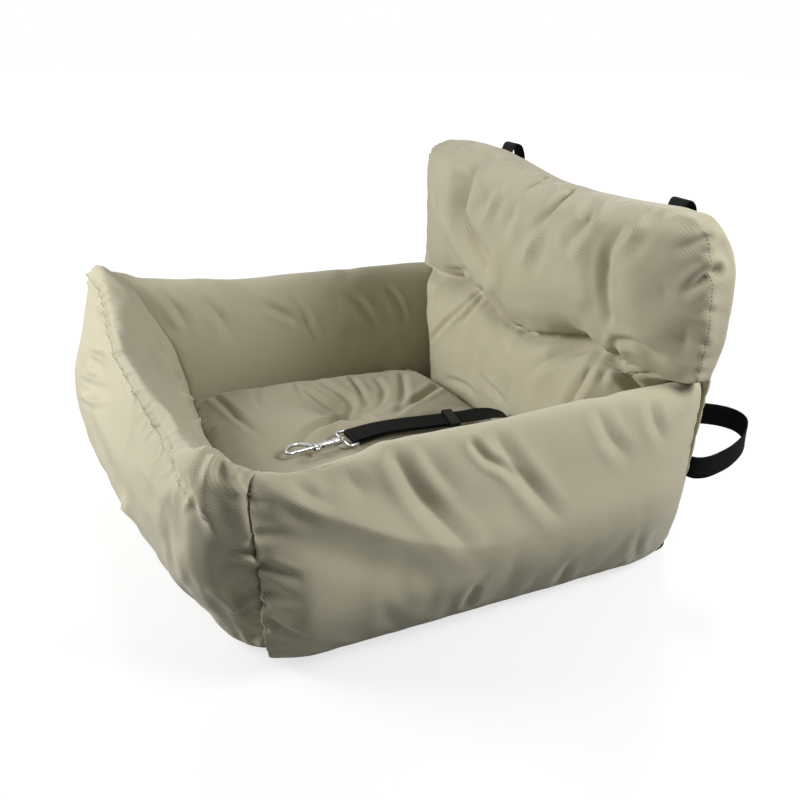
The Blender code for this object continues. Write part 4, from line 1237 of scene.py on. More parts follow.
@dataclass
class Bolster:
    """A stuffed bolster: a closed section run along one side of the bed.

    Attributes:
        name: the piece's name.
        node: the solid that it replaces.
        around: points round the section.
        rings: sections along its length.
        seed: seed of its random folds.
        seam_place: where the ridge seam lies in the section.
        index: the points' numbers in the grid, once it is laid.
        section: depth and height round the section, once it is laid.
    """

    name: str
    node: str
    around: int = 132
    rings: int = 148
    seed: int = 1
    seam_place: Pair = (0.0085, 0.1945)
    index: np.ndarray = field(default_factory=lambda: np.zeros((1, 1), int))
    section: np.ndarray = field(default_factory=lambda: np.zeros((1, 2)))

    def places(self) -> np.ndarray:
        """Places along the bolster from -1 to 1, closer near its ends."""
        even = np.linspace(-1.0, 1.0, self.rings)
        return 0.72 * even + 0.28 * np.sin(math.pi / 2 * even)

    def stand(self, along: np.ndarray, depth: np.ndarray, height: np.ndarray) -> np.ndarray:
        """Where points of the bolster stand in the bed."""
        raise NotImplementedError

    def ends(self, along: float) -> float:
        """How far the section is drawn in at a place, as a share of its size."""
        return 0.0

    def lift(self, along: float) -> float:
        """How far the top is lifted at a place."""
        return 0.0

    def lay(self) -> bpy.types.Object:
        """Lays the cover as a grid of cloth.

        Returns:
            The cover before it is filled.
        """
        loop = smooth_path([(a, b, 0.0) for a, b in OUTLINE], 8, closed=True)
        self.section = even_steps(loop, self.around, closed=True)[:, :2]
        girth = run_along(np.vstack([self.section, self.section[:1]]))
        grid, cloth = [], []
        for along in self.places():
            depth, height = self.shaped(float(along))
            points = self.stand(np.full(self.around, along), depth, height)
            grid.append(points)
            run = self.run_of(points)
            cloth.append(np.stack([girth, np.append(run, run[0])], axis=1))
        cover = Cover()
        index = cover.add_points(np.array(grid))
        self.index = index
        closed = ringed(index)
        cover.add_faces(closed, np.array(cloth), flip=self.flipped())
        for row, flip in ((0, not self.flipped()), (-1, self.flipped())):
            self.close_end(cover, np.array(grid)[row], closed[row], np.array(cloth)[row], flip)
        return cover.build(self.name)

    def shaped(self, along: float) -> tuple[np.ndarray, np.ndarray]:
        """The section at a place: drawn into its seam, lifted, and pushed out or in where it is mitred.

        Args:
            along: the place, from -1 to 1.

        Returns:
            The section's depths and heights.
        """
        shrink = self.ends(along)
        depth = 0.030 + (self.section[:, 0] - 0.030) * (1.0 - shrink)
        height = 0.080 + (self.section[:, 1] - 0.080) * (1.0 - 0.7 * shrink)
        level = np.clip(height / WALL_HEIGHT, 0.0, 1.0)
        shift = through(height, (0.0, 0.06, 0.10, 0.136, 0.172, 0.205), self.corner(along))
        depth = depth + shift * bell(np.maximum(depth, 0.0), 0.0, 0.060)
        inwards = np.clip((depth - 0.010) / 0.045, 0.0, 1.0)
        lift = self.lift(along) - self.dip(along) * inwards
        return depth, np.maximum(height + lift * level**3, FOOT)

    def dip(self, along: float) -> float:
        """How much less the top's inner side is lifted at a place."""
        return 0.0

    def corner(self, along: float) -> tuple[float, ...]:
        """How far the outer face is pushed in at six heights, at a place along the bolster."""
        share = max(0.0, (abs(along) - 0.80) / 0.20)
        share = share * share * (3 - 2 * share)
        return tuple(share * v for v in (0.010, 0.010, 0.008, 0.003, -0.008, -0.016))

    def run_of(self, points: np.ndarray) -> np.ndarray:
        """The cloth coordinate along the bolster."""
        return points[:, 0]

    def flipped(self) -> bool:
        """Whether the grid's faces need turning to look outwards."""
        return False

    def close_end(
        self, cover: Cover, ring: np.ndarray, numbers: np.ndarray, cloth: np.ndarray, flip: bool
    ) -> None:
        """Closes one end with rings that shrink to a point.

        Args:
            cover: the cover.
            ring: the end's points.
            numbers: their numbers, the first repeated at the end.
            cloth: their cloth coordinates.
            flip: whether the faces look the other way.
        """
        centre, middle = ring.mean(0), cloth.mean(0)
        last, last_cloth = numbers, cloth
        for share in (0.86, 0.6, 0.3):
            inner = ringed(cover.add_points((centre + (ring - centre) * share)[None]))[0]
            inner_cloth = middle + (cloth - middle) * share
            cover.add_faces(np.array([last, inner]), np.array([last_cloth, inner_cloth]), flip)
            last, last_cloth = inner, inner_cloth
        pole = cover.add_points(centre[None, None])[0, 0]
        cover.add_fan(last, int(pole), last_cloth, (float(middle[0]), float(middle[1])), not flip)

    def held(self, obj: bpy.types.Object) -> np.ndarray:
        """How firmly each point is held while the cover is filled."""
        points = points_of(obj)
        weights = np.zeros(len(points))
        weights[points[:, 2] < 0.0062] = 1.0
        weights[int(self.index.max()) + 1 :] = 1.0
        weights[self.index[:1].ravel()] = 1.0
        weights[self.index[-1:].ravel()] = 1.0
        return weights

    def column(self, place: Pair) -> int:
        """The column of the grid nearest a place of the section."""
        return int(np.argmin(np.linalg.norm(self.section - np.array(place), axis=1)))

    def finish(self, obj: bpy.types.Object, thread: Thread) -> None:
        """Sews, creases and dresses the filled cover."""
        raise NotImplementedError


FRONT_FOLDS = (
    Fold(((84, 352), (98, 356), (112, 366)), 0.0040, 0.0067),
    Fold(((80, 372), (96, 380), (114, 384)), 0.0038, 0.0060),
    Fold(((78, 392), (94, 402), (118, 402)), 0.0040, 0.0053),
    Fold(((92, 300), (98, 312), (104, 326)), 0.0036, 0.0045),
    Fold(((150, 432), (176, 452), (204, 490), (214, 520)), 0.0080, 0.0075),
    Fold(((128, 452), (160, 486), (186, 536)), 0.0108, 0.0060),
    Fold(((186, 470), (204, 505), (222, 545)), 0.0064, 0.0053),
    Fold(((225, 556), (244, 558), (264, 562)), 0.0036, 0.0060, (0.0, 0.8, 1.0)),
    Fold(((228, 606), (246, 604), (266, 590)), 0.0036, 0.0067, (0.0, 0.8, 1.0)),
    Fold(((205, 590), (228, 600), (250, 628)), 0.0056, 0.0053),
    Fold(((232, 640), (250, 646), (268, 636)), 0.0048, 0.0075),
    Fold(((145, 395), (165, 412), (182, 440)), 0.0056, 0.0045),
    Fold(((160, 350), (172, 368), (184, 390)), 0.0040, 0.0075),
    Fold(((166, 380), (180, 392), (196, 408)), 0.0036, 0.0067),
    Fold(((148, 330), (160, 345), (168, 362)), 0.0036, 0.0053),
    Fold(((186, 418), (204, 426), (222, 442)), 0.0040, 0.0067),
    Fold(((100, 470), (122, 500), (150, 540)), 0.0088, 0.0060),
    Fold(((214, 458), (208, 472), (206, 492)), 0.0040, 0.0060, (1.0, 0.8, 0.0)),
    Fold(((226, 462), (232, 474), (236, 492)), 0.0040, 0.0053, (1.0, 0.8, 0.0)),
)


# How far the front bows forwards, at places along it from -1 to 1
BOW = (
    (-1.0, 0.002), (-0.93, 0.006), (-0.73, 0.013), (-0.48, 0.021), (-0.02, 0.0355),
    (0.37, 0.0425), (0.76, 0.0415), (0.90, 0.036), (0.965, 0.020), (1.0, 0.0),
)


def well_front(x: np.ndarray, depth: float) -> np.ndarray:
    """Where the front bolster's inner face stands, at x and at a depth into the bolster."""
    return -(HALF_DEPTH - depth + through(np.clip(x / (HALF_WIDTH - depth), -1.0, 1.0), *zip(*BOW)))


def corner_dip(along: float, start: float, depth: float) -> float:
    """How far the inner side of a mitred corner sinks, rising from nothing at a place along the bolster."""
    share = max(0.0, (abs(along) - start) / (1.0 - start))
    return depth * share * share * (3 - 2 * share)


@dataclass
class FrontBolster(Bolster):
    """The low bolster that the dog steps over, bowed forwards and mitred at both ends.

    Attributes:
        belly: how far its face swells, at places along it.
        hem: how far its foot stands forward, at places along it.
    """

    belly: tuple[Pair, ...] = (
        (-1.0, 0.004), (-0.95, 0.018), (-0.85, 0.026), (-0.48, 0.0255), (0.08, 0.0195),
        (0.54, 0.0150), (0.86, 0.0080), (0.96, 0.0030), (1.0, 0.0),
    )
    hem: tuple[Pair, ...] = (
        (-1.0, 0.006), (-0.85, 0.022), (-0.44, 0.036), (-0.14, 0.020), (0.12, 0.008),
        (0.33, -0.008), (0.54, -0.018), (0.74, -0.028), (0.90, -0.030), (1.0, -0.004),
    )

    def ends(self, along: float) -> float:
        """The mitred ends are drawn into their seams."""
        side = abs(along)
        return 0.02 * side**8 + 0.030 * math.exp(-(1.0 - side) * 0.28 / 0.0035)

    def lift(self, along: float) -> float:
        """The corners peak a little; the near one falls again at its mitre."""
        share = max(0.0, (abs(along) - 0.50) / 0.50)
        rise = (0.029 if along < 0 else 0.014) * share * share * (3 - 2 * share)
        fall = 0.014 * max(0.0, (along - 0.90) / 0.10) ** 1.5
        peak = 0.006 * math.exp(-(((along - 0.90) / 0.040) ** 2))
        return rise - fall + peak + 0.003 * math.sin(5.0 * along + 0.8)

    def dip(self, along: float) -> float:
        """The ridge is the highest line, and the corners peak on their outer side."""
        return 0.034 + corner_dip(along, 0.70, 0.008 if along > 0 else -0.006)

    def stand(self, along: np.ndarray, depth: np.ndarray, height: np.ndarray) -> np.ndarray:
        """Where points of the front bolster stand in the bed."""
        side = along * (HALF_WIDTH - depth - TOUCH)
        level = np.clip(height / WALL_HEIGHT, 0.0, 1.0)
        outer = np.clip(1.0 - depth / WALL_THICKNESS, 0.0, 1.0)
        bow, belly, hem = (through(along, *zip(*table)) for table in (BOW, self.belly, self.hem))
        swell = belly * np.sin(math.pi * level) ** 0.9 + hem * (1.0 - level) ** 3
        return np.stack([side, -(HALF_DEPTH - depth + bow + swell * outer**1.5), height], axis=1)

    def seam_line(self, sewing: Sewing) -> Seam:
        """The ridge seam, which leaves the ridge by the near corner and runs down the face."""
        rows = self.index[1:-6]
        share = np.clip((self.places()[1:-6] - 0.62) / 0.38, 0.0, 1.0) ** 1.5
        place = self.column(self.seam_place) - 10.5 * share
        low = np.floor(place).astype(int)
        part = (place - low)[:, None]
        numbers = np.arange(len(rows))
        first, second = (sewing.along(rows[numbers, low + k]) for k in (0, 1))
        return tuple(a * (1 - part) + b * part for a, b in zip(first, second))

    def finish(self, obj: bpy.types.Object, thread: Thread) -> None:
        """Sews the ridge seam and the mitres, and adds the folds of the photograph."""
        sewing = Sewing(subdivided(obj))
        rng = np.random.default_rng(self.seed)
        sewing.puckers(*self.seam_line(sewing), rng, 0.030, 0.036, 0.0020)
        for row in (1, -2):
            sewing.puckers(*sewing.along(self.index[row, : self.around // 2]), rng, 0.036, 0.026, 0.0020)
        sewing.press([Line(*self.seam_line(sewing), 0.0024, 0.0022, shoulder=0.5)])
        sewing.folds(FRONT_FOLDS)
        seam = self.seam_line(sewing)
        dress(obj, TWILL.build(), "khaki_twill", "bed", self.node)
        thread.sew("front_ridge_stitches", [seam], "bed")


SIDE_FOLDS = (
    # the face turns under along this line
    Fold(
        ((262, 484), (300, 504), (345, 520), (400, 538), (455, 546), (500, 544)),
        0.0150,
        -0.0085,
        (0.7, 1.0, 0.2),
    ),
    # large folds from the crown
    Fold(((398, 458), (414, 486), (438, 516), (462, 542)), 0.0080, 0.0068, (0.8, 1.0, 0.3)),
    Fold(((424, 450), (440, 474), (464, 498)), 0.0075, 0.0022, (0.8, 1.0, 0.0)),
    Fold(((500, 440), (520, 472), (545, 502), (566, 524)), 0.0075, 0.0055, (0.5, 1.0, 0.0)),
    Fold(((474, 444), (486, 458), (504, 468), (522, 482)), 0.0042, 0.0045, (0.8, 1.0, 0.0)),
    Fold(((286, 478), (304, 492), (336, 506)), 0.0050, 0.0032),
    Fold(((272, 500), (292, 514), (318, 526)), 0.0050, 0.0020),
    Fold(((345, 462), (352, 480), (372, 500)), 0.0070, 0.0022),
    Fold(((600, 414), (612, 440), (634, 462)), 0.0070, 0.0032, (0.6, 1.0, 0.0)),
    Fold(((650, 398), (656, 424), (668, 446)), 0.0065, 0.0025, (0.6, 1.0, 0.0)),
    # across the mitre and along the foot
    Fold(((264, 566), (284, 574), (304, 580)), 0.0040, 0.0045, (1.0, 0.8, 0.0)),
    Fold(((268, 594), (286, 598), (304, 604)), 0.0040, 0.0035, (1.0, 0.8, 0.0)),
    Fold(((258, 536), (272, 536), (288, 534)), 0.0040, 0.0030, (1.0, 0.8, 0.0)),
    Fold(((270, 622), (288, 632), (312, 640)), 0.0048, 0.0045, (1.0, 0.7, 0.0)),
    Fold(((468, 604), (476, 588), (490, 574)), 0.0055, 0.0028, (1.0, 0.8, 0.0)),
    Fold(((560, 582), (568, 566), (584, 552)), 0.0064, 0.0020, (1.0, 0.8, 0.0)),
    Fold(((636, 556), (640, 536), (652, 520)), 0.0064, 0.0018, (1.0, 0.8, 0.0)),
)
FAR_FOLDS = (
    Fold(((255, 300), (282, 312), (312, 330)), 0.0052, 0.0060),
    Fold(((290, 296), (306, 322), (318, 350)), 0.0064, 0.0060),
    Fold(((200, 296), (222, 318), (236, 345)), 0.0068, 0.0053),
    Fold(((340, 290), (362, 306), (380, 330)), 0.0056, 0.0045),
    Fold(((160, 288), (178, 310), (192, 336)), 0.0056, 0.0053),
    Fold(((385, 284), (398, 304), (406, 328)), 0.0052, 0.0045),
)


@dataclass
class SideBolster(Bolster):
    """A side bolster, mitred in front and sewn to the rear panel behind.

    Attributes:
        side: +1 for the right one, -1 for the left.
        picture_folds: its creases in the photograph.
        rises: how far the top is lifted at eight places along it.
        leaning: how far the crown leans out and how far the foot spreads at the front end.
        belly: how far its face swells at places along it.
        shoulder: how far its crown draws in at places along it.
    """

    side: int = 1
    picture_folds: tuple[Fold, ...] = ()
    rises: tuple[float, ...] = (0.022, 0.017, 0.007, 0.002, 0.001, 0.0, -0.001, 0.0)
    leaning: Pair = (0.0, 0.004)
    belly: tuple[Pair, ...] = ((-1.0, 0.0), (-0.7, 0.008), (0.3, 0.008), (1.0, 0.0))
    shoulder: tuple[Pair, ...] = ((-1.0, 0.0), (0.0, 0.004), (1.0, 0.0))

    def flipped(self) -> bool:
        """The grid runs the other way round on the right."""
        return self.side > 0

    def run_of(self, points: np.ndarray) -> np.ndarray:
        """The cloth runs along Y."""
        return points[:, 1]

    def ends(self, along: float) -> float:
        """Drawn in at the mitre, and less where it meets the rear panel."""
        if along < 0:
            return 0.02 * along**8 + 0.030 * math.exp(-(1.0 + along) * 0.24 / 0.0035)
        return 0.05 * along**8 + 0.05 * math.exp(-(1.0 - along) * 0.24 / 0.006)

    def lift(self, along: float) -> float:
        """How the top rises and sinks along its length: the far corner peaks, the near side slumps."""
        places = (-1.0, -0.85, -0.62, -0.4, 0.0, 0.4, 0.7, 1.0)
        return float(through(np.array([along]), places, self.rises)[0])

    def dip(self, along: float) -> float:
        """The inner side sinks at the mitre."""
        return corner_dip(along, 0.55, 0.042 if self.side > 0 else 0.028) if along < 0 else 0.0

    def corner(self, along: float) -> tuple[float, ...]:
        """The near side's crown leans out, and its foot spreads towards the front."""
        mitre = Bolster.corner(self, along) if along < 0 else (0.0,) * 6
        lean, spread = self.leaning
        share = 0.5 - 0.5 * along
        out = (-spread * share, -0.4 * spread * share, 0.0, 0.0, -0.3 * lean, -lean)
        return tuple((0.3 * m if m < 0 and o < 0 else m) + o for m, o in zip(mitre, out))

    def stand(self, along: np.ndarray, depth: np.ndarray, height: np.ndarray) -> np.ndarray:
        """Where points of the side bolster stand in the bed."""
        front = -(HALF_DEPTH - depth - TOUCH)
        y = front + (REAR_PANEL_FRONT - TOUCH - front) * (along + 1) / 2
        level = np.clip(height / WALL_HEIGHT, 0.0, 1.0)
        outer = np.clip(1.0 - 1.6 * depth / WALL_THICKNESS, 0.0, 1.0)
        share = np.clip((along - 0.62) / 0.38, 0.0, 1.0)
        tuck = (0.031 + 0.014 * (1 - level)) * share**2.4 * outer
        belly = through(along, *zip(*self.belly)) * bell(level, 0.40, 0.27)
        shoulder = through(along, *zip(*self.shoulder)) * np.clip((level - 0.50) / 0.50, 0.0, 1.0) ** 1.3
        x = self.side * (HALF_WIDTH - depth - tuck + (belly - shoulder) * outer)
        return np.stack([x, y, height], axis=1)

    def finish(self, obj: bpy.types.Object, thread: Thread) -> None:
        """Sews the mitre and the rear edge, and adds the folds of the photograph."""
        sewing = Sewing(subdivided(obj))
        rng = np.random.default_rng(self.seed)
        mitre, rear = (self.index[row, : self.around // 2] for row in (1, -2))
        sewing.puckers(*sewing.along(mitre), rng, 0.036, 0.028, 0.0020)
        sewing.puckers(*sewing.along(rear), rng, 0.030, 0.020, 0.0016)
        sewing.folds(self.picture_folds)
        dress(obj, TWILL.build(), "khaki_twill", "bed", self.node)
        thread.sew(f"{self.name}_stitches", [sewing.along(mitre)], "bed", lift=-0.0002)


# Pads: seat, backrest, panels


@dataclass
class Pad:
    """A stuffed pad of two sheets joined by a gusset.

    Attributes:
        name: the piece's name.
        columns: points across.
        rows: points up.
        gusset_rows: faces through its edge.
        seed: seed of its random folds.
        front_index: the points' numbers in the front sheet, once it is laid.
        back_index: the same for the back sheet.
    """

    name: str
    columns: int
    rows: int
    gusset_rows: int = 4
    seed: int = 5
    front_index: np.ndarray = field(default_factory=lambda: np.zeros((1, 1), int))
    back_index: np.ndarray = field(default_factory=lambda: np.zeros((1, 1), int))

    def spread(self) -> tuple[np.ndarray, np.ndarray]:
        """The grid's u and v from -1 to 1, closer near the edges."""
        u, v = np.linspace(-1, 1, self.columns), np.linspace(-1, 1, self.rows)
        u, v = (0.7 * w + 0.3 * np.sin(math.pi / 2 * w) for w in (u, v))
        return np.meshgrid(u, v)

    def front(self, u: np.ndarray, v: np.ndarray) -> np.ndarray:
        """The front sheet's points."""
        raise NotImplementedError

    def back(self, u: np.ndarray, v: np.ndarray) -> np.ndarray:
        """The back sheet's points."""
        raise NotImplementedError

    def lay(self) -> bpy.types.Object:
        """Lays the cover as a grid of cloth."""
        u, v = self.spread()
        cover = Cover()
        sheets = []
        for sheet, flip in ((self.front(u, v), False), (self.back(u, v), True)):
            index = cover.add_points(sheet)
            rise = np.linalg.norm(np.diff(sheet, axis=0), axis=2)
            up = np.vstack([np.zeros((1, self.columns)), np.cumsum(rise, axis=0)])
            cover.add_faces(index, np.stack([sheet[..., 0], up], axis=2), flip)
            sheets.append((sheet, index))
        self.front_index, self.back_index = sheets[0][1], sheets[1][1]
        first, last = (border(index) for _, index in sheets)
        points = np.array(cover.points)
        run = run_along(points[first])
        rows, cloth = [first], [np.stack([run, np.zeros(len(run))], axis=1)]
        for k in range(1, self.gusset_rows):
            share = k / self.gusset_rows
            ring = points[first] * (1 - share) + points[last] * share
            rows.append(ringed(cover.add_points(ring[None, :-1]))[0])
            cloth.append(np.stack([run, np.full(len(run), 0.005 * k)], axis=1))
        rows.append(last)
        cloth.append(np.stack([run, np.full(len(run), 0.005 * self.gusset_rows)], axis=1))
        cover.add_faces(np.array(rows), np.array(cloth), flip=True)
        return cover.build(self.name)


SEAT_FOLDS = (
    Fold(
        ((300, 441), (310, 430), (322, 423), (345, 419), (372, 419), (392, 421)),
        0.0048,
        0.0080,
        (0.5, 1.0, 0.4),
    ),
    Fold(((212, 394), (228, 408), (244, 422), (262, 436)), 0.0044, 0.0055, (0.6, 1.0, 0.3)),
    Fold(((300, 386), (318, 398), (335, 410), (348, 414)), 0.0048, 0.0050, (0.3, 1.0, 0.8)),
    Fold(((318, 380), (340, 392), (352, 404), (350, 414)), 0.0048, 0.0050, (0.3, 1.0, 0.8)),
    Fold(((402, 374), (404, 392), (398, 408), (380, 416)), 0.0048, 0.0042, (0.8, 1.0, 0.6)),
    Fold(((376, 378), (384, 390), (380, 404), (364, 414)), 0.0042, 0.0035, (0.6, 1.0, 0.6)),
    Fold(((440, 384), (422, 396), (408, 404), (396, 414)), 0.0048, 0.0055, (0.6, 1.0, 0.6)),
    Fold(((352, 378), (362, 392), (366, 404)), 0.0040, 0.0045, (0.8, 1.0, 0.2)),
    Fold(((256, 390), (258, 402), (266, 412)), 0.0040, 0.0040, (1.0, 0.7, 0.0)),
    Fold(((296, 384), (300, 392), (306, 400)), 0.0036, 0.0035, (1.0, 0.7, 0.0)),
)


@dataclass
class SeatCushion(Pad):
    """The tufted seat cushion inside the bolsters.

    Attributes:
        half_width: half its width.
        rear: its rear edge.
        foot: height of its underside.
        top: height of its crown.
        edge: height of its upper edge.
        tufts: places of its sewn tufts.
        tuft_depth: how far a tuft pulls the top down.
        tuft_reach: how wide that hollow is.
        lump: height of the filling's lumps.
        hollow: place of the hollow in front, with its depth and width.
        leash_x: where the leash lies across the seat.
        leash_height: highest that the cloth may lie under it.
    """

    half_width: float = 0.2025
    rear: float = 0.1588
    foot: float = 0.0165
    top: float = 0.0910
    edge: float = 0.070
    tufts: tuple[Pair, ...] = ((-0.064, -0.008), (0.064, -0.008))
    tuft_depth: float = 0.020
    tuft_reach: float = 0.034
    lump: float = 0.0028
    hollow: tuple[float, float, float, float] = (0.043, -0.107, 0.012, 0.046)
    leash_x: float = 0.030
    leash_height: float = 0.0835

    def plan(self, u: np.ndarray, v: np.ndarray) -> tuple[np.ndarray, np.ndarray]:
        """Where the grid lies in plan."""
        x = u * self.half_width * (1 - 0.02 * v**8)
        front = well_front(x, WELL_EDGE)
        middle = (self.rear + front) / 2
        return x, middle + v * (self.rear - front) / 2 * (1 - 0.015 * u**8)

    def front(self, u: np.ndarray, v: np.ndarray) -> np.ndarray:
        """The crowned top, pulled down at its tufts and lumpy between them."""
        x, y = self.plan(u, v)
        crown = (1 - np.abs(u) ** 8) * (1 - np.abs(v) ** 8)
        z = self.edge + (self.top - self.edge) * crown
        hollows = [(*tuft, self.tuft_depth, self.tuft_reach) for tuft in self.tufts]
        for tuft_x, tuft_y, depth, reach in hollows:
            z -= depth * np.exp(-(((x - tuft_x) ** 2 + (y - tuft_y) ** 2) / reach**2)) * crown
        lumps = np.sin(31 * x + 11 * y) * np.sin(27 * y - 9 * x + 0.6)
        z += self.lump * lumps * crown
        hollow_x, hollow_y, depth, reach = self.hollow
        z -= depth * np.exp(-(((x - hollow_x) ** 2 + (y - hollow_y) ** 2) / reach**2)) * crown
        strip = np.exp(-(((x - self.leash_x) / 0.026) ** 4)) * np.clip((y + 0.15) / 0.03, 0, 1)
        z = z - np.maximum(z - 0.0815, 0.0) * strip
        return np.stack([x, y, z], axis=2)

    def back(self, u: np.ndarray, v: np.ndarray) -> np.ndarray:
        """The flat underside with its turned-up rim."""
        x, y = self.plan(u, v)
        rim = np.maximum(np.abs(u), np.abs(v)) ** 12
        return np.stack([x, y, self.foot + 0.011 * rim], axis=2)

    def held(self, obj: bpy.types.Object) -> np.ndarray:
        """The underside, the tufts and the strip under the leash hold still."""
        points = points_of(obj)
        weights = np.zeros(len(points))
        weights[self.back_index.ravel()] = 1.0
        weights[border(self.front_index)] = 0.8
        for tuft in self.tufts:
            near = np.hypot(points[:, 0] - tuft[0], points[:, 1] - tuft[1]) < 0.010
            weights[near] = 1.0
        leash = (np.abs(points[:, 0] - self.leash_x) < 0.022) & (points[:, 1] > -0.14)
        weights[leash] = np.maximum(weights[leash], 0.85)
        return weights

    def finish(self, obj: bpy.types.Object, thread: Thread) -> None:
        """Adds the folds round the tufts and the sewn edge."""
        sewing = Sewing(subdivided(obj))
        rng = np.random.default_rng(self.seed)
        for tuft in self.tufts:
            angles = (np.arange(7) + rng.uniform(-0.25, 0.25, 7)) * 2 * math.pi / 7
            away = np.stack([np.cos(angles), np.sin(angles), np.zeros(7)], axis=1)
            starts = np.array([tuft[0], tuft[1], 0.065]) + away * 0.006
            sewing.wander(starts, away, rng, 0.070, 0.0062, 0.0011)
        sewing.puckers(*sewing.along(border(self.front_index)[:-1]), rng, 0.030, 0.034, 0.0026)
        sewing.folds(SEAT_FOLDS)
        points = points_of(obj)
        strip = (np.abs(points[:, 0] - 0.028) < 0.019) & (points[:, 1] > -0.13) & (points[:, 1] < 0.135)
        points[strip, 2] = np.minimum(points[strip, 2], self.leash_height)
        move_points(obj, points)
        dress(obj, TWILL.build(), "khaki_twill", "bed", "seat_cushion")
        rim = border(self.front_index)[:-1]
        thread.sew("seat_edge_stitches", [Sewing(obj).along(rim)], "bed")


BACK_FOLDS = (
    # from the left tuft
    Fold(
        ((482, 262), (476, 252), (466, 236), (459, 215), (460, 198), (467, 176), (478, 158)),
        0.0150,
        0.0200,
        (0.5, 1.0, 0.4),
    ),
    Fold(((481, 264), (472, 248), (464, 232), (460, 214), (462, 198)), 0.0050, 0.0050, (0.5, 1.0, 0.0)),
    Fold(((470, 270), (456, 270), (442, 268)), 0.0050, 0.0040, (0.7, 1.0, 0.0)),
    Fold(((484, 288), (464, 304), (444, 324), (428, 343)), 0.0040, 0.0055, (0.6, 1.0, 0.4)),
    Fold(((484, 296), (472, 310), (460, 324)), 0.0036, 0.0035, (0.6, 1.0, 0.0)),
    # the crease under the middle lobe
    Fold(((496, 296), (504, 309), (514, 321), (526, 329)), 0.0060, 0.0060, (0.3, 1.0, 0.6)),
    Fold(((512, 322), (530, 331), (558, 335), (590, 337)), 0.0055, 0.0055, (0.5, 1.0, 0.4)),
    # from the right tuft
    Fold(
        ((606, 316), (602, 304), (600, 286), (600, 264), (606, 246), (620, 224)),
        0.0180,
        0.0105,
        (0.6, 1.0, 0.4),
    ),
    Fold(
        ((606, 318), (603, 306), (601, 290), (601, 266), (607, 246), (618, 228)),
        0.0055,
        0.0055,
        (0.5, 1.0, 0.3),
    ),
    Fold(((615, 348), (620, 366), (630, 382), (645, 397)), 0.0055, 0.0100, (0.4, 1.0, 0.8)),
    Fold(((612, 354), (606, 370), (598, 386)), 0.0045, 0.0045, (0.5, 1.0, 0.0)),
    Fold(((602, 352), (590, 366), (577, 388), (568, 406)), 0.0060, 0.0060, (0.5, 1.0, 0.6)),
    Fold(((596, 348), (572, 352), (546, 360), (524, 376)), 0.0075, 0.0050, (0.4, 1.0, 0.0)),
    Fold(((616, 341), (632, 342), (650, 352), (668, 360)), 0.0048, 0.0065, (0.7, 1.0, 0.0)),
    # pleats along the top
    Fold(((545, 177), (528, 187), (507, 198)), 0.0040, 0.0065, (1.0, 0.8, 0.0)),
    Fold(((572, 188), (552, 208), (526, 238)), 0.0060, 0.0095, (1.0, 0.8, 0.0)),
    Fold(((592, 200), (586, 222), (570, 240)), 0.0080, 0.0080, (0.4, 1.0, 0.6)),
    Fold(((566, 244), (570, 270), (584, 300)), 0.0110, 0.0035),
    Fold(((644, 212), (634, 234), (612, 256)), 0.0070, -0.0055),
    Fold(((508, 178), (496, 200), (482, 226)), 0.0070, -0.0065),
    Fold(((540, 225), (530, 250), (520, 268)), 0.0095, -0.0065),
    Fold(((520, 190), (510, 214), (500, 240)), 0.0090, 0.0060),
    Fold(((474, 146), (454, 164), (440, 180)), 0.0070, 0.0065),
    Fold(((440, 196), (442, 220), (450, 244)), 0.0090, -0.0060),
    Fold(((430, 166), (432, 190), (438, 212)), 0.0070, 0.0040),
    # by the right seam
    Fold(((716, 271), (700, 281), (680, 298)), 0.0050, 0.0070, (1.0, 0.8, 0.0)),
    Fold(((706, 236), (688, 246), (668, 250)), 0.0055, 0.0035, (1.0, 0.8, 0.0)),
    Fold(((690, 318), (684, 342), (680, 366)), 0.0140, 0.0060),
    Fold(((660, 270), (664, 292), (660, 316)), 0.0130, 0.0025),
    # on the lower part
    Fold(((444, 378), (462, 384), (480, 398)), 0.0040, 0.0050),
    Fold(((478, 372), (490, 388), (510, 408)), 0.0050, 0.0055),
    Fold(((500, 340), (506, 358), (520, 376)), 0.0060, 0.0035),
)


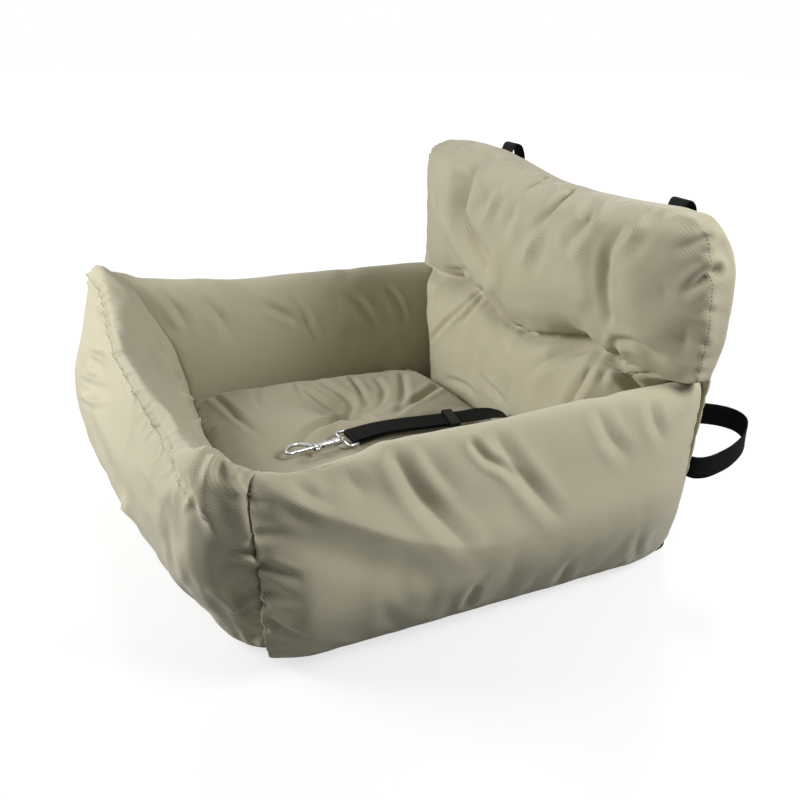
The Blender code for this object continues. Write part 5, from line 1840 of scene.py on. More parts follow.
@dataclass
class Backrest(Pad):
    """The tufted backrest: a tall upper part that folds down over the lower part between the bolsters.

    Attributes:
        foot: height of its foot.
        tuft: how far its two tufts lie from the middle.
        tuft_height: their height.
        bend: heights between which it bends as it folds.
    """

    foot: float = 0.0165
    tuft: float = 0.132
    tuft_height: float = 0.209
    bend: Pair = (0.186, 0.232)

    def crease(self, x: np.ndarray) -> np.ndarray:
        """Height of the crease between the two parts."""
        line = (
            (-0.30, 0.205), (-0.20, 0.201), (-0.16, 0.207), (-0.132, 0.209), (-0.10, 0.209), (-0.07, 0.207),
            (-0.05, 0.202), (-0.02, 0.192), (0.02, 0.187), (0.06, 0.191), (0.09, 0.200), (0.132, 0.209),
            (0.18, 0.211), (0.22, 0.207), (0.26, 0.205), (0.30, 0.207),
        )
        return through(x, *zip(*line))

    def crease_depth(self, x: np.ndarray) -> np.ndarray:
        """How far back the crease lies."""
        pull = sum(bell(x, t, 0.032) for t in (-self.tuft, self.tuft))
        return 0.192 + 0.032 * pull + 0.010 * np.clip((np.abs(x) - 0.20) / 0.09, 0, 1)

    def top(self, x: np.ndarray) -> np.ndarray:
        """Height of the top edge."""
        line = (
            (-0.30, 0.335), (-0.275, 0.346), (-0.262, 0.360), (-0.22, 0.380), (-0.156, 0.386),
            (-0.068, 0.380), (0.025, 0.367), (0.10, 0.366), (0.183, 0.370), (0.242, 0.373),
            (0.278, 0.369), (0.292, 0.358), (0.30, 0.342),
        )
        return through(x, *zip(*line))

    def half(self, z: np.ndarray) -> np.ndarray:
        """Half the width at a height: narrow between the bolsters, full above them."""
        heights = (0.0, 0.06, 0.10, 0.14, 0.17, 0.192, 0.201, 0.209, 0.218, 0.24, 0.40)
        widths = (0.2030, 0.2040, 0.2100, 0.2200, 0.2310, 0.2410, 0.2490, 0.2790, 0.2920, 0.2965, 0.2970)
        return through(z, heights, widths)

    def narrowed(self, u: np.ndarray, z: np.ndarray) -> np.ndarray:
        """The left end above the bolsters stands in a little."""
        return 1 - 0.075 * np.clip(-u, 0, 1) ** 2 * np.clip((z - 0.200) / 0.02, 0, 1)

    def place(self, u: np.ndarray, v: np.ndarray) -> tuple[np.ndarray, np.ndarray]:
        """The grid's x and z seen from the front."""
        rise = (v + 1) / 2
        x = u * 0.2970
        z = self.foot + rise * (BACKREST_HEIGHT - self.foot)
        for _ in range(3):
            x = u * self.half(z) * self.narrowed(u, z) * (1 - 0.03 * np.clip(rise, 0, 1) ** 10)
            z = self.foot + rise * (self.top(x) - self.foot)
        return x, z

    def lean(self, z: np.ndarray) -> np.ndarray:
        """Where the front edge of the gusset stands."""
        heights = (0.0, 0.14, 0.19, 0.205, 0.22, 0.30, 0.374)
        return through(z, heights, (0.214, 0.214, 0.212, 0.209, 0.210, 0.209, 0.197))

    def front(self, u: np.ndarray, v: np.ndarray) -> np.ndarray:
        """The front sheet: a full upper part, a tufted crease and a full lower part."""
        x, z = self.place(u, v)
        crease, top = self.crease(x), self.top(x)
        above = np.clip((z - crease) / (top - crease), 0.0, 1.0)
        below = np.clip((crease - z) / 0.052, 0.0, 1.0)
        levels = (0.0, 0.06, 0.15, 0.32, 0.60, 0.80, 0.93, 1.0)
        upper = through(above, levels, (0.0, 0.45, 0.80, 1.0, 1.0, 0.88, 0.58, 0.0))
        lower = np.sqrt(np.clip(1 - (1 - below) ** 2, 0, 1))
        wide = np.where(u < 0, 1 - np.abs(u) ** 2.4, (1 - np.abs(u) ** 4.5) ** 0.8)
        side = np.where(z > crease, np.clip(wide, 0, 1), 1 - np.abs(u) ** 10)
        base = self.lean(z) + 0.006 * np.clip(-u, 0, 1) ** 2 * above
        deep = np.maximum(self.crease_depth(x), base - 0.012)
        held = bell(z, crease, np.where(z > crease, 0.018, 0.024))
        start = base * (1 - held * side) + deep * held * side
        reach = np.where(z > crease, 0.055 * upper, 0.052 * lower)
        y = start - reach * side
        y = np.where(z < crease, np.maximum(y, 0.1632), y)
        return np.stack([x, y, z], axis=2)

    def back(self, u: np.ndarray, v: np.ndarray) -> np.ndarray:
        """The back sheet: flat against the rear panel, a little crowned above it."""
        x, z = self.place(u, v)
        heights = (0.0, 0.17, 0.196, 0.212, 0.24, 0.27, 0.4)
        flat = through(z, heights, (0.2462, 0.2462, 0.2435, 0.2300, 0.2355, 0.2372, 0.2372))
        near_top = np.clip((z - self.top(x) + 0.034) / 0.034, 0, 1)
        return np.stack([x, flat - (0.011 + 0.006 * np.abs(u) ** 6) * near_top**2, z], axis=2)

    def held(self, obj: bpy.types.Object) -> np.ndarray:
        """The foot, the tufts and the edge seams hold still."""
        points = points_of(obj)
        weights = np.zeros(len(points))
        weights[points[:, 2] < 0.060] = 1.0
        weights[self.back_index[: self.rows // 2].ravel()] = 1.0
        weights[border(self.front_index)] = 0.75
        weights[border(self.back_index)] = 0.75
        front = self.front_index.ravel()
        x, z = points[front, 0], points[front, 2]
        for tuft in (-self.tuft, self.tuft):
            weights[front[np.hypot(x - tuft, z - self.tuft_height) < 0.011]] = 1.0
        crease = front[(np.abs(z - self.crease(x)) < 0.004) & (np.abs(x) < 0.27)]
        weights[crease] = np.maximum(weights[crease], 0.7)
        return weights

    def finish(self, obj: bpy.types.Object, thread: Thread) -> None:
        """Sews the gusset's seams and adds the folds."""
        sewing = Sewing(subdivided(obj))
        rng = np.random.default_rng(self.seed)
        half = self.rows // 2 + 2
        right, left = self.front_index[half:-1, -1], self.front_index[half:-1, 0]
        top = self.front_index[-1, 1:-1]
        for seam, spacing, depth in ((right, 0.040, 0.0014), (left, 0.036, 0.0018), (top, 0.034, 0.0020)):
            sewing.puckers(*sewing.along(seam), rng, spacing, 0.026, depth)
        sewing.folds(BACK_FOLDS)
        dress(obj, TWILL.build(), "khaki_twill", "", "backrest_lower", "backrest_upper")
        edge = thread.sew("backrest_edge_stitches", [sewing.along(right), sewing.along(left)], "")
        low, high = ((0, FOLD_AXIS_Y, z) for z in self.bend)
        for piece in (obj, edge):
            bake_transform(piece)
            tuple(low)
            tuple(high)


@dataclass
class RearPanel(Pad):
    """The padded panel behind the bed, which rests against the car's seat back.

    Attributes:
        half: half its width at the top.
    """

    half: float = 0.2732

    def outline(self, u: np.ndarray, v: np.ndarray) -> tuple[np.ndarray, np.ndarray]:
        """The panel's outline with rounded lower corners."""
        z = 0.0042 + (v + 1) / 2 * 0.2
        heights = (0.004, 0.014, 0.057, 0.091, 0.138, 0.182, 0.205)
        return u * through(z, heights, (0.226, 0.236, 0.251, 0.259, 0.265, 0.270, self.half)), z

    def front(self, u: np.ndarray, v: np.ndarray) -> np.ndarray:
        """The rear face, nearly flat, with a rolled edge."""
        x, z = self.outline(u, v)
        roll = np.maximum(np.abs(u), np.abs(v)) ** 14
        ripple = 0.0004 * np.sin(45 * x + 3) * np.sin(60 * z)
        return np.stack([-x, 0.2524 - 0.0020 * roll + ripple, z], axis=2)

    def back(self, u: np.ndarray, v: np.ndarray) -> np.ndarray:
        """The face towards the bed."""
        x, z = self.outline(u, v)
        return np.stack([-x, np.full_like(x, 0.2467), z], axis=2)

    def make(self, thread: Thread) -> None:
        """Builds, sews and dresses the panel."""
        obj = self.lay()
        sewing = Sewing(obj)
        rng = np.random.default_rng(self.seed)
        sewing.puckers(*sewing.along(border(self.front_index)[:-1]), rng, 0.024, 0.030, 0.0009)
        subdivided(obj)
        dress(obj, TWILL.build(), "khaki_twill", "bed", "rear_panel")
        rim = border(self.front_index[3:-3, 3:-3])
        thread.sew("rear_panel_stitches", [Sewing(obj).along(rim)], "bed")


@dataclass
class FloorPad(Pad):
    """The thin wadded pad that floors the bed.

    Attributes:
        half: half its width.
        rear: its rear edge.
        foot: height of its underside.
        top: height of its top between the channels.
    """

    half: float = 0.1950
    rear: float = 0.2458
    foot: float = 0.0041
    top: float = 0.0143

    def sheet(self, u: np.ndarray, v: np.ndarray, z: np.ndarray) -> np.ndarray:
        """A sheet of the pad at a height."""
        x = u * self.half
        front = well_front(x, WELL_EDGE)
        return np.stack([x, front + (self.rear - front) * (v + 1) / 2, z], axis=2)

    def front(self, u: np.ndarray, v: np.ndarray) -> np.ndarray:
        """The top, quilted in long channels."""
        channel = 0.0012 * np.abs(np.sin(math.pi * (u + 1) * 3.5)) ** 0.6
        rim = 0.003 * np.maximum(np.abs(u), np.abs(v)) ** 10
        return self.sheet(u, v, self.top + channel - rim)

    def back(self, u: np.ndarray, v: np.ndarray) -> np.ndarray:
        """The flat underside."""
        return self.sheet(u, v, np.full_like(u, self.foot))

    def make(self) -> None:
        """Builds and dresses the pad."""
        obj = self.lay()
        subdivided(obj)
        dress(obj, TWILL.build(), "khaki_twill", "bed", "base_pad")


class Underside:
    """The black non-slip underside: a bound sheet with a grid of grip dots.

    Attributes:
        half: half the sheet's width.
        front: its front edge before the bed's bow is added.
        rear: its rear edge.
        round: radius of its rear corners.
        dot_pitch: distance between dots.
    """

    half: float = 0.255
    front: float = 0.2125
    rear: float = 0.2519
    round: float = 0.03
    dot_pitch: float = 0.014

    def edge(self, across: float) -> float:
        """How far forward the sheet's front edge lies, at a place from -1 to 1."""
        place = np.array([across])
        bow = through(place, *zip(*BOW))[0]
        return self.front + bow + 0.6 * through(place, *zip(*FrontBolster.hem))[0] - 0.008 * across**8

    def outline(self) -> np.ndarray:
        """The sheet's outline, seen from above."""
        across = np.sin(math.pi / 2 * np.linspace(-1, 1, 61))
        points = [(self.half * a, -self.edge(a)) for a in across]
        turns = np.linspace(0, math.pi / 2, 9)
        inset = [(self.round * (1 - math.cos(t)), self.round * (1 - math.sin(t))) for t in turns]
        corner = [(self.half - x, self.rear - y) for x, y in inset]
        return np.array([*points, *corner, *((-x, y) for x, y in corner[::-1])])

    def build(self) -> None:
        """Makes the sheet, its bound edge and the dots."""
        rim = self.outline()
        rings = [(0.985, 0.0008), (0.998, 0.0010), (1.0, 0.0020), (0.998, 0.0032), (0.985, 0.0034)]
        grid = np.array([[(*(p * s), z) for p in rim] for s, z in rings])
        cover = Cover()
        closed = ringed(cover.add_points(grid))
        flat = ringed(grid)[..., :2]
        cover.add_faces(closed, flat)
        low, high = cover.add_points(np.array([[[0, 0, 0.0008]], [[0, 0, 0.0034]]]))[:, 0]
        cover.add_fan(closed[0], int(low), flat[0], (0.0, 0.0), True)
        cover.add_fan(closed[-1], int(high), flat[-1], (0.0, 0.0), False)
        sheet = cover.build("underside_sheet")
        dress(sheet, UNDERSIDE.build(), "black_underside", "bed", "nonslip_base")
        dots = Repeat("grip_dots", GRIP.build(), (0.0042, 0.0042, 0.0008), self.dot_pitch)
        lines = []
        for k in range(-17, 18):
            x = k * self.dot_pitch
            front = 0.012 - self.edge(x / self.half)
            ends = np.array([[x, front, 0.0006], [x, self.rear - 0.034, 0.0006]])
            lines.append((ends, np.tile(-UP, (2, 1))))
        grip = dots.make("underside_grip_dots", lines)
        dress(grip, GRIP.build(), "black_underside", "bed")


# Webbing


def slab(name: str, face: np.ndarray, inside: float) -> bpy.types.Object:
    """A thin sheet of cloth that faces rearwards, with a flat inner side and a closed edge.

    Args:
        name: the piece's name.
        face: the grid of its face.
        inside: where its inner side stands, along Y.

    Returns:
        The new mesh object.
    """
    inner = face.copy()
    inner[..., 1] = inside
    flat = face[..., ::2]
    cover = Cover()
    front, back = cover.add_points(face), cover.add_points(inner)
    cover.add_faces(front, flat)
    cover.add_faces(back, flat, flip=True)
    hem = flat.reshape(-1, 2)[border(front)]
    cover.add_faces(np.array([border(front), border(back)]), np.array([hem, hem + 0.001]), flip=True)
    return cover.build(name)


@dataclass
class Strap:
    """Flat webbing with rounded edges.

    Attributes:
        name: the piece's name.
        path: its middle line.
        across: the direction of its width at each point.
    """

    name: str
    path: np.ndarray
    across: np.ndarray

    def build(self) -> bpy.types.Object:
        """Makes the webbing's mesh."""
        edge = ((-0.86, 1.0), (-0.5, 0.86), (0.0, 0.92), (0.5, 0.86), (0.86, 1.0), (0.97, 0.8), (1.0, 0.0))
        section = np.array([*edge, *((-a, -b) for a, b in edge)])
        section = section * (WEBBING_WIDTH / 2, WEBBING_THICKNESS / 2)
        step = np.gradient(self.path, axis=0)
        step /= np.linalg.norm(step, axis=1, keepdims=True)
        side = self.across - step * np.einsum("ij,ij->i", self.across, step)[:, None]
        side /= np.linalg.norm(side, axis=1, keepdims=True)
        up = np.cross(step, side)
        grid = self.path[:, None] + side[:, None] * section[:, :1] + up[:, None] * section[:, 1:]
        girth = run_along(np.vstack([section, section[:1]]))
        cloth = np.stack(np.meshgrid(girth, run_along(self.path)), axis=2)
        cover = Cover()
        closed = ringed(cover.add_points(grid))
        cover.add_faces(closed, cloth, flip=True)
        for row, flip in ((0, True), (-1, False)):
            pole = cover.add_points(self.path[row][None, None])[0, 0]
            middle = (float(cloth[row][:, 0].mean()), float(cloth[row][0, 1]))
            cover.add_fan(closed[row], int(pole), cloth[row], middle, flip)
        return cover.build(self.name)


class HeadrestLoops:
    """The two loops on the backrest's top edge, which a strap round the headrest's posts holds.

    Attributes:
        places: each loop's place across, and how far it rises above the backrest.
        face: the backrest's rear face, along Y.
        foot: how far the ends reach down.
        depth: how far the loops stand out.
        stitch: half the width and height of the box stitch.
    """

    places: dict[str, Pair] = {"left": (-0.122, 0.014), "right": (0.198, -0.0005)}
    face: float = 0.238
    foot: float = 0.040
    depth: float = 0.021
    stitch: Pair = (0.0095, 0.0050)

    def build(self, thread: Thread) -> None:
        """Makes both loops and their box stitches."""
        inner = self.face + TOUCH + WEBBING_THICKNESS / 2
        outer = inner + WEBBING_THICKNESS + TOUCH
        foot = BACKREST_HEIGHT - self.foot
        for side, (x, rise) in self.places.items():
            top = BACKREST_HEIGHT + rise
            route = [
                (x, inner, foot),
                (x, inner, foot + 0.45 * self.foot),
                (x, inner, top - 0.014),
                (x, inner + 0.28 * self.depth, top),
                (x, inner + 0.80 * self.depth, top - 0.004),
                (x, inner + self.depth, top - 0.025),
                (x, outer + 0.35 * self.depth, foot + 0.55 * self.foot - 0.004),
                (x, outer, foot + 0.28 * self.foot),
                (x, outer, foot),
            ]
            path = even_steps(smooth_path(route, 8), 70)
            loop = Strap(f"headrest_loop_{side}_webbing", path, np.tile(RIGHT, (len(path), 1))).build()
            dress(loop, WEBBING.build(), "black_webbing", "backrest", f"headrest_loop_{side}")
            middle = np.array([x, outer + WEBBING_THICKNESS / 2 + 0.0001, foot + 0.0065])
            thread.tack(f"headrest_loop_{side}_stitches", thread.box(middle, self.stitch), "backrest")


class BeltLoop:
    """The loop behind the bed that the car's seat belt runs through, and the patches over its ends.

    Attributes:
        route: its middle line, with Y counted from the rear panel.
        patches: each patch's place across.
        patch_half: half a patch's width and height.
        level: height of its ends.
        stitch: half the width and height of the box stitches.
    """

    route: tuple[Point, ...] = (
        (0.2360, 0.0009, 0.0980), (0.2500, 0.0009, 0.0980), (0.2620, 0.0032, 0.0990),
        (0.2690, 0.0130, 0.1010), (0.2715, 0.0280, 0.1050), (0.2715, 0.0450, 0.1110),
        (0.2660, 0.0640, 0.1190), (0.2530, 0.0780, 0.1270), (0.2360, 0.0800, 0.1310),
        (0.2140, 0.0710, 0.1310), (0.1880, 0.0540, 0.1265), (0.1610, 0.0340, 0.1180),
        (0.1340, 0.0155, 0.1085), (0.1100, 0.0046, 0.1020), (0.0900, 0.0009, 0.0980),
        (0.0640, 0.0009, 0.0980),
    )
    patches: dict[str, float] = {"near": 0.2390, "far": 0.0740}
    patch_half: Pair = (0.012, 0.0165)
    level: float = 0.098
    stitch: Pair = (0.0095, 0.0140)

    def build(self, thread: Thread) -> None:
        """Makes the webbing, the patches and their stitches."""
        route = [(x, HALF_DEPTH + TOUCH + y, z) for x, y, z in self.route]
        path = even_steps(smooth_path(route, 8), 170)
        loop = Strap("seat_belt_loop_webbing", path, np.tile(UP, (len(path), 1))).build()
        dress(loop, WEBBING.build(), "black_webbing", "bed", "seat_belt_loop")
        front = HALF_DEPTH + 2 * TOUCH + 0.0009 + WEBBING_THICKNESS / 2
        for side, x in self.patches.items():
            patch = self.patch(f"belt_patch_{side}_cloth", x, front)
            dress(patch, PATCH_TWILL.build(), "khaki_twill", "bed", f"belt_patch_{side}")
            middle = np.array([x, front + 0.0015, self.level])
            thread.sew(f"belt_patch_{side}_stitches", thread.box(middle, self.stitch), "bed")

    def patch(self, name: str, x: float, front: float) -> bpy.types.Object:
        """A small folded-edge patch with its hem a little thicker."""
        u, v = np.meshgrid(np.linspace(-1, 1, 17), np.linspace(-1, 1, 21))
        edge = np.maximum(np.abs(u), np.abs(v))
        hem = 0.0003 * bell(edge, 0.88, 0.08) - 0.0010 * np.clip((edge - 0.94) / 0.06, 0, 1) ** 2
        half, rise = self.patch_half
        face = np.stack([x - u * half, front + 0.00145 + hem, self.level + v * rise], axis=2)
        return slab(name, face, front + 0.0001)


# Leash and snap


@dataclass(frozen=True)
class SnapFrame:
    """Where the snap lies: its own -Y runs from the eye bar to the tip.

    Attributes:
        place: the middle of the eye's bar.
        turn: turn about the upright.
        roll: roll about its own length.
    """

    place: Point = (0.0275, -0.0390, 0.0900)
    turn: float = math.radians(10.7)
    roll: float = math.radians(10)

    def matrix(self) -> Matrix:
        """The snap's place as a matrix."""
        turned = Matrix.Translation(self.place) @ Matrix.Rotation(self.turn, 4, "Z")
        return turned @ Matrix.Rotation(self.roll, 4, "Y")


SNAP = SnapFrame()


class Leash:
    """The short leash: webbing from the bed's floor to the snap's eye, and its sewn return.

    Attributes:
        route: its middle line up to the eye.
        eye_wire: radius of the eye's wire.
        adjuster: the adjuster's place.
        adjuster_half: half the adjuster's length.
        return_drop: how far the return lies under the webbing at the adjuster.
        slope: how far the adjuster moves sideways for each metre of its slide.
        travel: length of that slide.
        stitch_half: half the width of the sewn lines.
    """

    route: tuple[Point, ...] = (
        (0.0600, 0.1612, 0.0166), (0.0600, 0.1612, 0.0380), (0.0600, 0.1611, 0.0600),
        (0.0598, 0.1603, 0.0770), (0.0575, 0.1565, 0.0895), (0.0525, 0.1490, 0.0962),
        (0.0445, 0.1370, 0.0980), (0.0370, 0.1240, 0.0962), (0.0312, 0.1120, 0.0938),
        (0.0283, 0.1000, 0.0928), (0.0272, 0.0900, 0.0928), (0.0255, 0.0740, 0.0928),
        (0.0238, 0.0580, 0.0928), (0.0216, 0.0370, 0.0929), (0.0205, 0.0150, 0.0930),
        (0.0216, -0.0080, 0.0930),
    )
    eye_wire: float = 0.0017
    adjuster: Point = (0.0272, 0.0900, 0.0928)
    adjuster_half: float = 0.006
    return_drop: float = 0.0029
    slope: float = 0.107
    travel: float = 0.016
    stitch_half: float = 0.0092

    def across(self, points: np.ndarray) -> np.ndarray:
        """The direction of the leash's width at each point."""
        roll = SNAP.roll * np.clip((0.150 - points[:, 1]) / 0.030, 0, 1)
        turn = SNAP.turn * np.clip(1 - points[:, 1] / self.adjuster[1], 0, 1)
        return np.stack([np.cos(roll) * np.cos(turn), np.sin(turn), -np.sin(roll)], axis=1)

    def main_path(self) -> np.ndarray:
        """The middle of the webbing from the floor to the eye."""
        over = self.eye_wire + 2 * TOUCH + WEBBING_THICKNESS / 2
        last = [tuple(SNAP.matrix() @ Vector((0, y, over))) for y in (0.006, 0.0)]
        return even_steps(smooth_path([*self.route, *last], 8), 200)

    def return_path(self) -> np.ndarray:
        """The middle of the return, round the eye and back under the webbing to the adjuster."""
        over = self.eye_wire + 2 * TOUCH + WEBBING_THICKNESS / 2
        bend = []
        for step in range(13):
            angle = math.pi * (0.5 + (step + 0.5) / 12.5)
            bend.append(tuple(SNAP.matrix() @ Vector((0, over * math.cos(angle), over * math.sin(angle)))))
        near = self.adjuster[1] - self.adjuster_half - TOUCH
        points = smooth_path(self.route[11:], 4)
        points = points[points[:, 1] < near - 0.004]
        share = np.clip((points[:, 1] - SNAP.place[1]) / 0.05, 0, 1)
        drop = 2 * over + (self.return_drop - 2 * over) * share
        up = np.cross(self.across(points), REARWARD)
        up /= np.linalg.norm(up, axis=1, keepdims=True)
        back = (points - up * drop[:, None])[::-1]
        turned = Matrix.Translation(self.adjuster) @ Matrix.Rotation(-math.atan(self.slope), 4, "Z")
        end = Vector((0, near - self.adjuster[1], -self.return_drop))
        last = turned @ Matrix.Rotation(SNAP.roll, 4, "Y") @ end
        return even_steps(np.vstack([bend, back[1:], [tuple(last)]]), 110)

    def build(self, thread: Thread, snap: "SwivelSnap") -> None:
        path = self.main_path()
        webbing = Strap("leash_webbing_strap", path, self.across(path)).build()
        dress(webbing, WEBBING.build(), "black_webbing", "bed", "leash_webbing")
        back = self.return_path()
        under = Strap("leash_return_strap", back, self.across(back)).build()
        dress(under, WEBBING.build(), "black_webbing", "bed", "leash_return")
        eye = np.array(SNAP.matrix() @ Vector((0, 0, -0.0032)))
        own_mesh(under)
        stitches = self.stitches(thread, path)
        length = length_of(path)
        metal = snap.build()
        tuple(self.route[0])
        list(metal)
        LOG.info("leash: %.3f m from the bed's floor to the eye", length)

    def stitches(self, thread: Thread, path: np.ndarray) -> bpy.types.Object:
        """The box stitch beside the eye and the bar tack by the adjuster."""
        lines = []
        for low, high in ((-0.030, -0.012), (0.066, 0.078)):
            part = path[(path[:, 1] > low) & (path[:, 1] < high)]
            across = self.across(part)
            step = np.gradient(part, axis=0)
            up = np.cross(across, step)
            up /= np.linalg.norm(up, axis=1, keepdims=True)
            up *= np.sign(up[:, 2:3])
            face = part + up * (WEBBING_THICKNESS / 2 + 0.0001)
            half = self.stitch_half
            for side in (-half, half):
                lines.append((face + across * side, up))
            for row in (0, -1):
                ends = face[row] + np.outer(np.linspace(-half, half, 5), across[row])
                lines.append((ends, np.tile(up[row], (5, 1))))
            for sign in (-1, 1):
                sweep = np.linspace(-half, half, len(face))[:, None] * sign
                lines.append((face + across * sweep, up))
        return thread.tack("leash_box_stitches", lines, "bed")


class Forge:
    """Rounded metal shapes: tubes of changing radius, joined or cut by Boolean modifiers."""

    def __init__(self) -> None:
        """Starts with no helpers."""
        self.helpers: list[bpy.types.Object] = []

    def tube(
        self, name: str, path: np.ndarray, radii: Sequence[float], sides: int, closed: bool = False
    ) -> bpy.types.Object:
        """A round tube along a path.

        Args:
            name: its name.
            path: the middle line.
            radii: the radius at each point.
            sides: points round it.
            closed: whether it runs back to its start.

        Returns:
            The tube as an object.
        """
        count = len(path)
        angles = np.linspace(0, 2 * math.pi, sides, endpoint=False)
        rings = []
        across = None
        for i in range(count):
            if closed:
                ahead = path[(i + 1) % count] - path[i - 1]
            else:
                ahead = path[min(i + 1, count - 1)] - path[max(i - 1, 0)]
            ahead = ahead / np.linalg.norm(ahead)
            if across is None:
                across = np.array(Vector(ahead).orthogonal().normalized())
            across = across - ahead * (across @ ahead)
            across /= np.linalg.norm(across)
            round_ = np.outer(np.cos(angles), across) + np.outer(np.sin(angles), np.cross(ahead, across))
            rings.append(path[i] + radii[i] * round_)
        cover = Cover()
        index = cover.add_points(np.array(rings))
        ring = ringed(index)
        if closed:
            ring = np.concatenate([ring, ring[:1]], axis=0)
        cover.add_faces(ring, np.zeros((*ring.shape, 2)))
        if not closed:
            cover.faces.append(tuple(int(i) for i in index[0][::-1]))
            cover.faces.append(tuple(int(i) for i in index[-1]))
            cover.cloth.extend([(0.0, 0.0)] * (2 * sides))
        return cover.build(name)

    def combine(self, target: bpy.types.Object, other: bpy.types.Object, operation: str) -> None:
        """Joins a helper to the target or cuts it away."""
        modifier = target.modifiers.new(other.name, "BOOLEAN")
        modifier.operation = operation
        modifier.object = other
        modifier.solver = "EXACT"
        self.helpers.append(other)

    def settle(self, obj: bpy.types.Object, matrix: Matrix) -> bpy.types.Object:
        """Applies the modifiers, rounds the shading and puts the shape in its place."""
        made_plain(obj)
        obj.data.transform(matrix)
        obj.data.shade_smooth()
        obj.data.set_sharp_from_angle(angle=math.radians(38))
        return obj

    def clear(self) -> None:
        """Removes the helpers."""
        for helper in self.helpers:
            bpy.data.objects.remove(helper, do_unlink=True)
        self.helpers = []


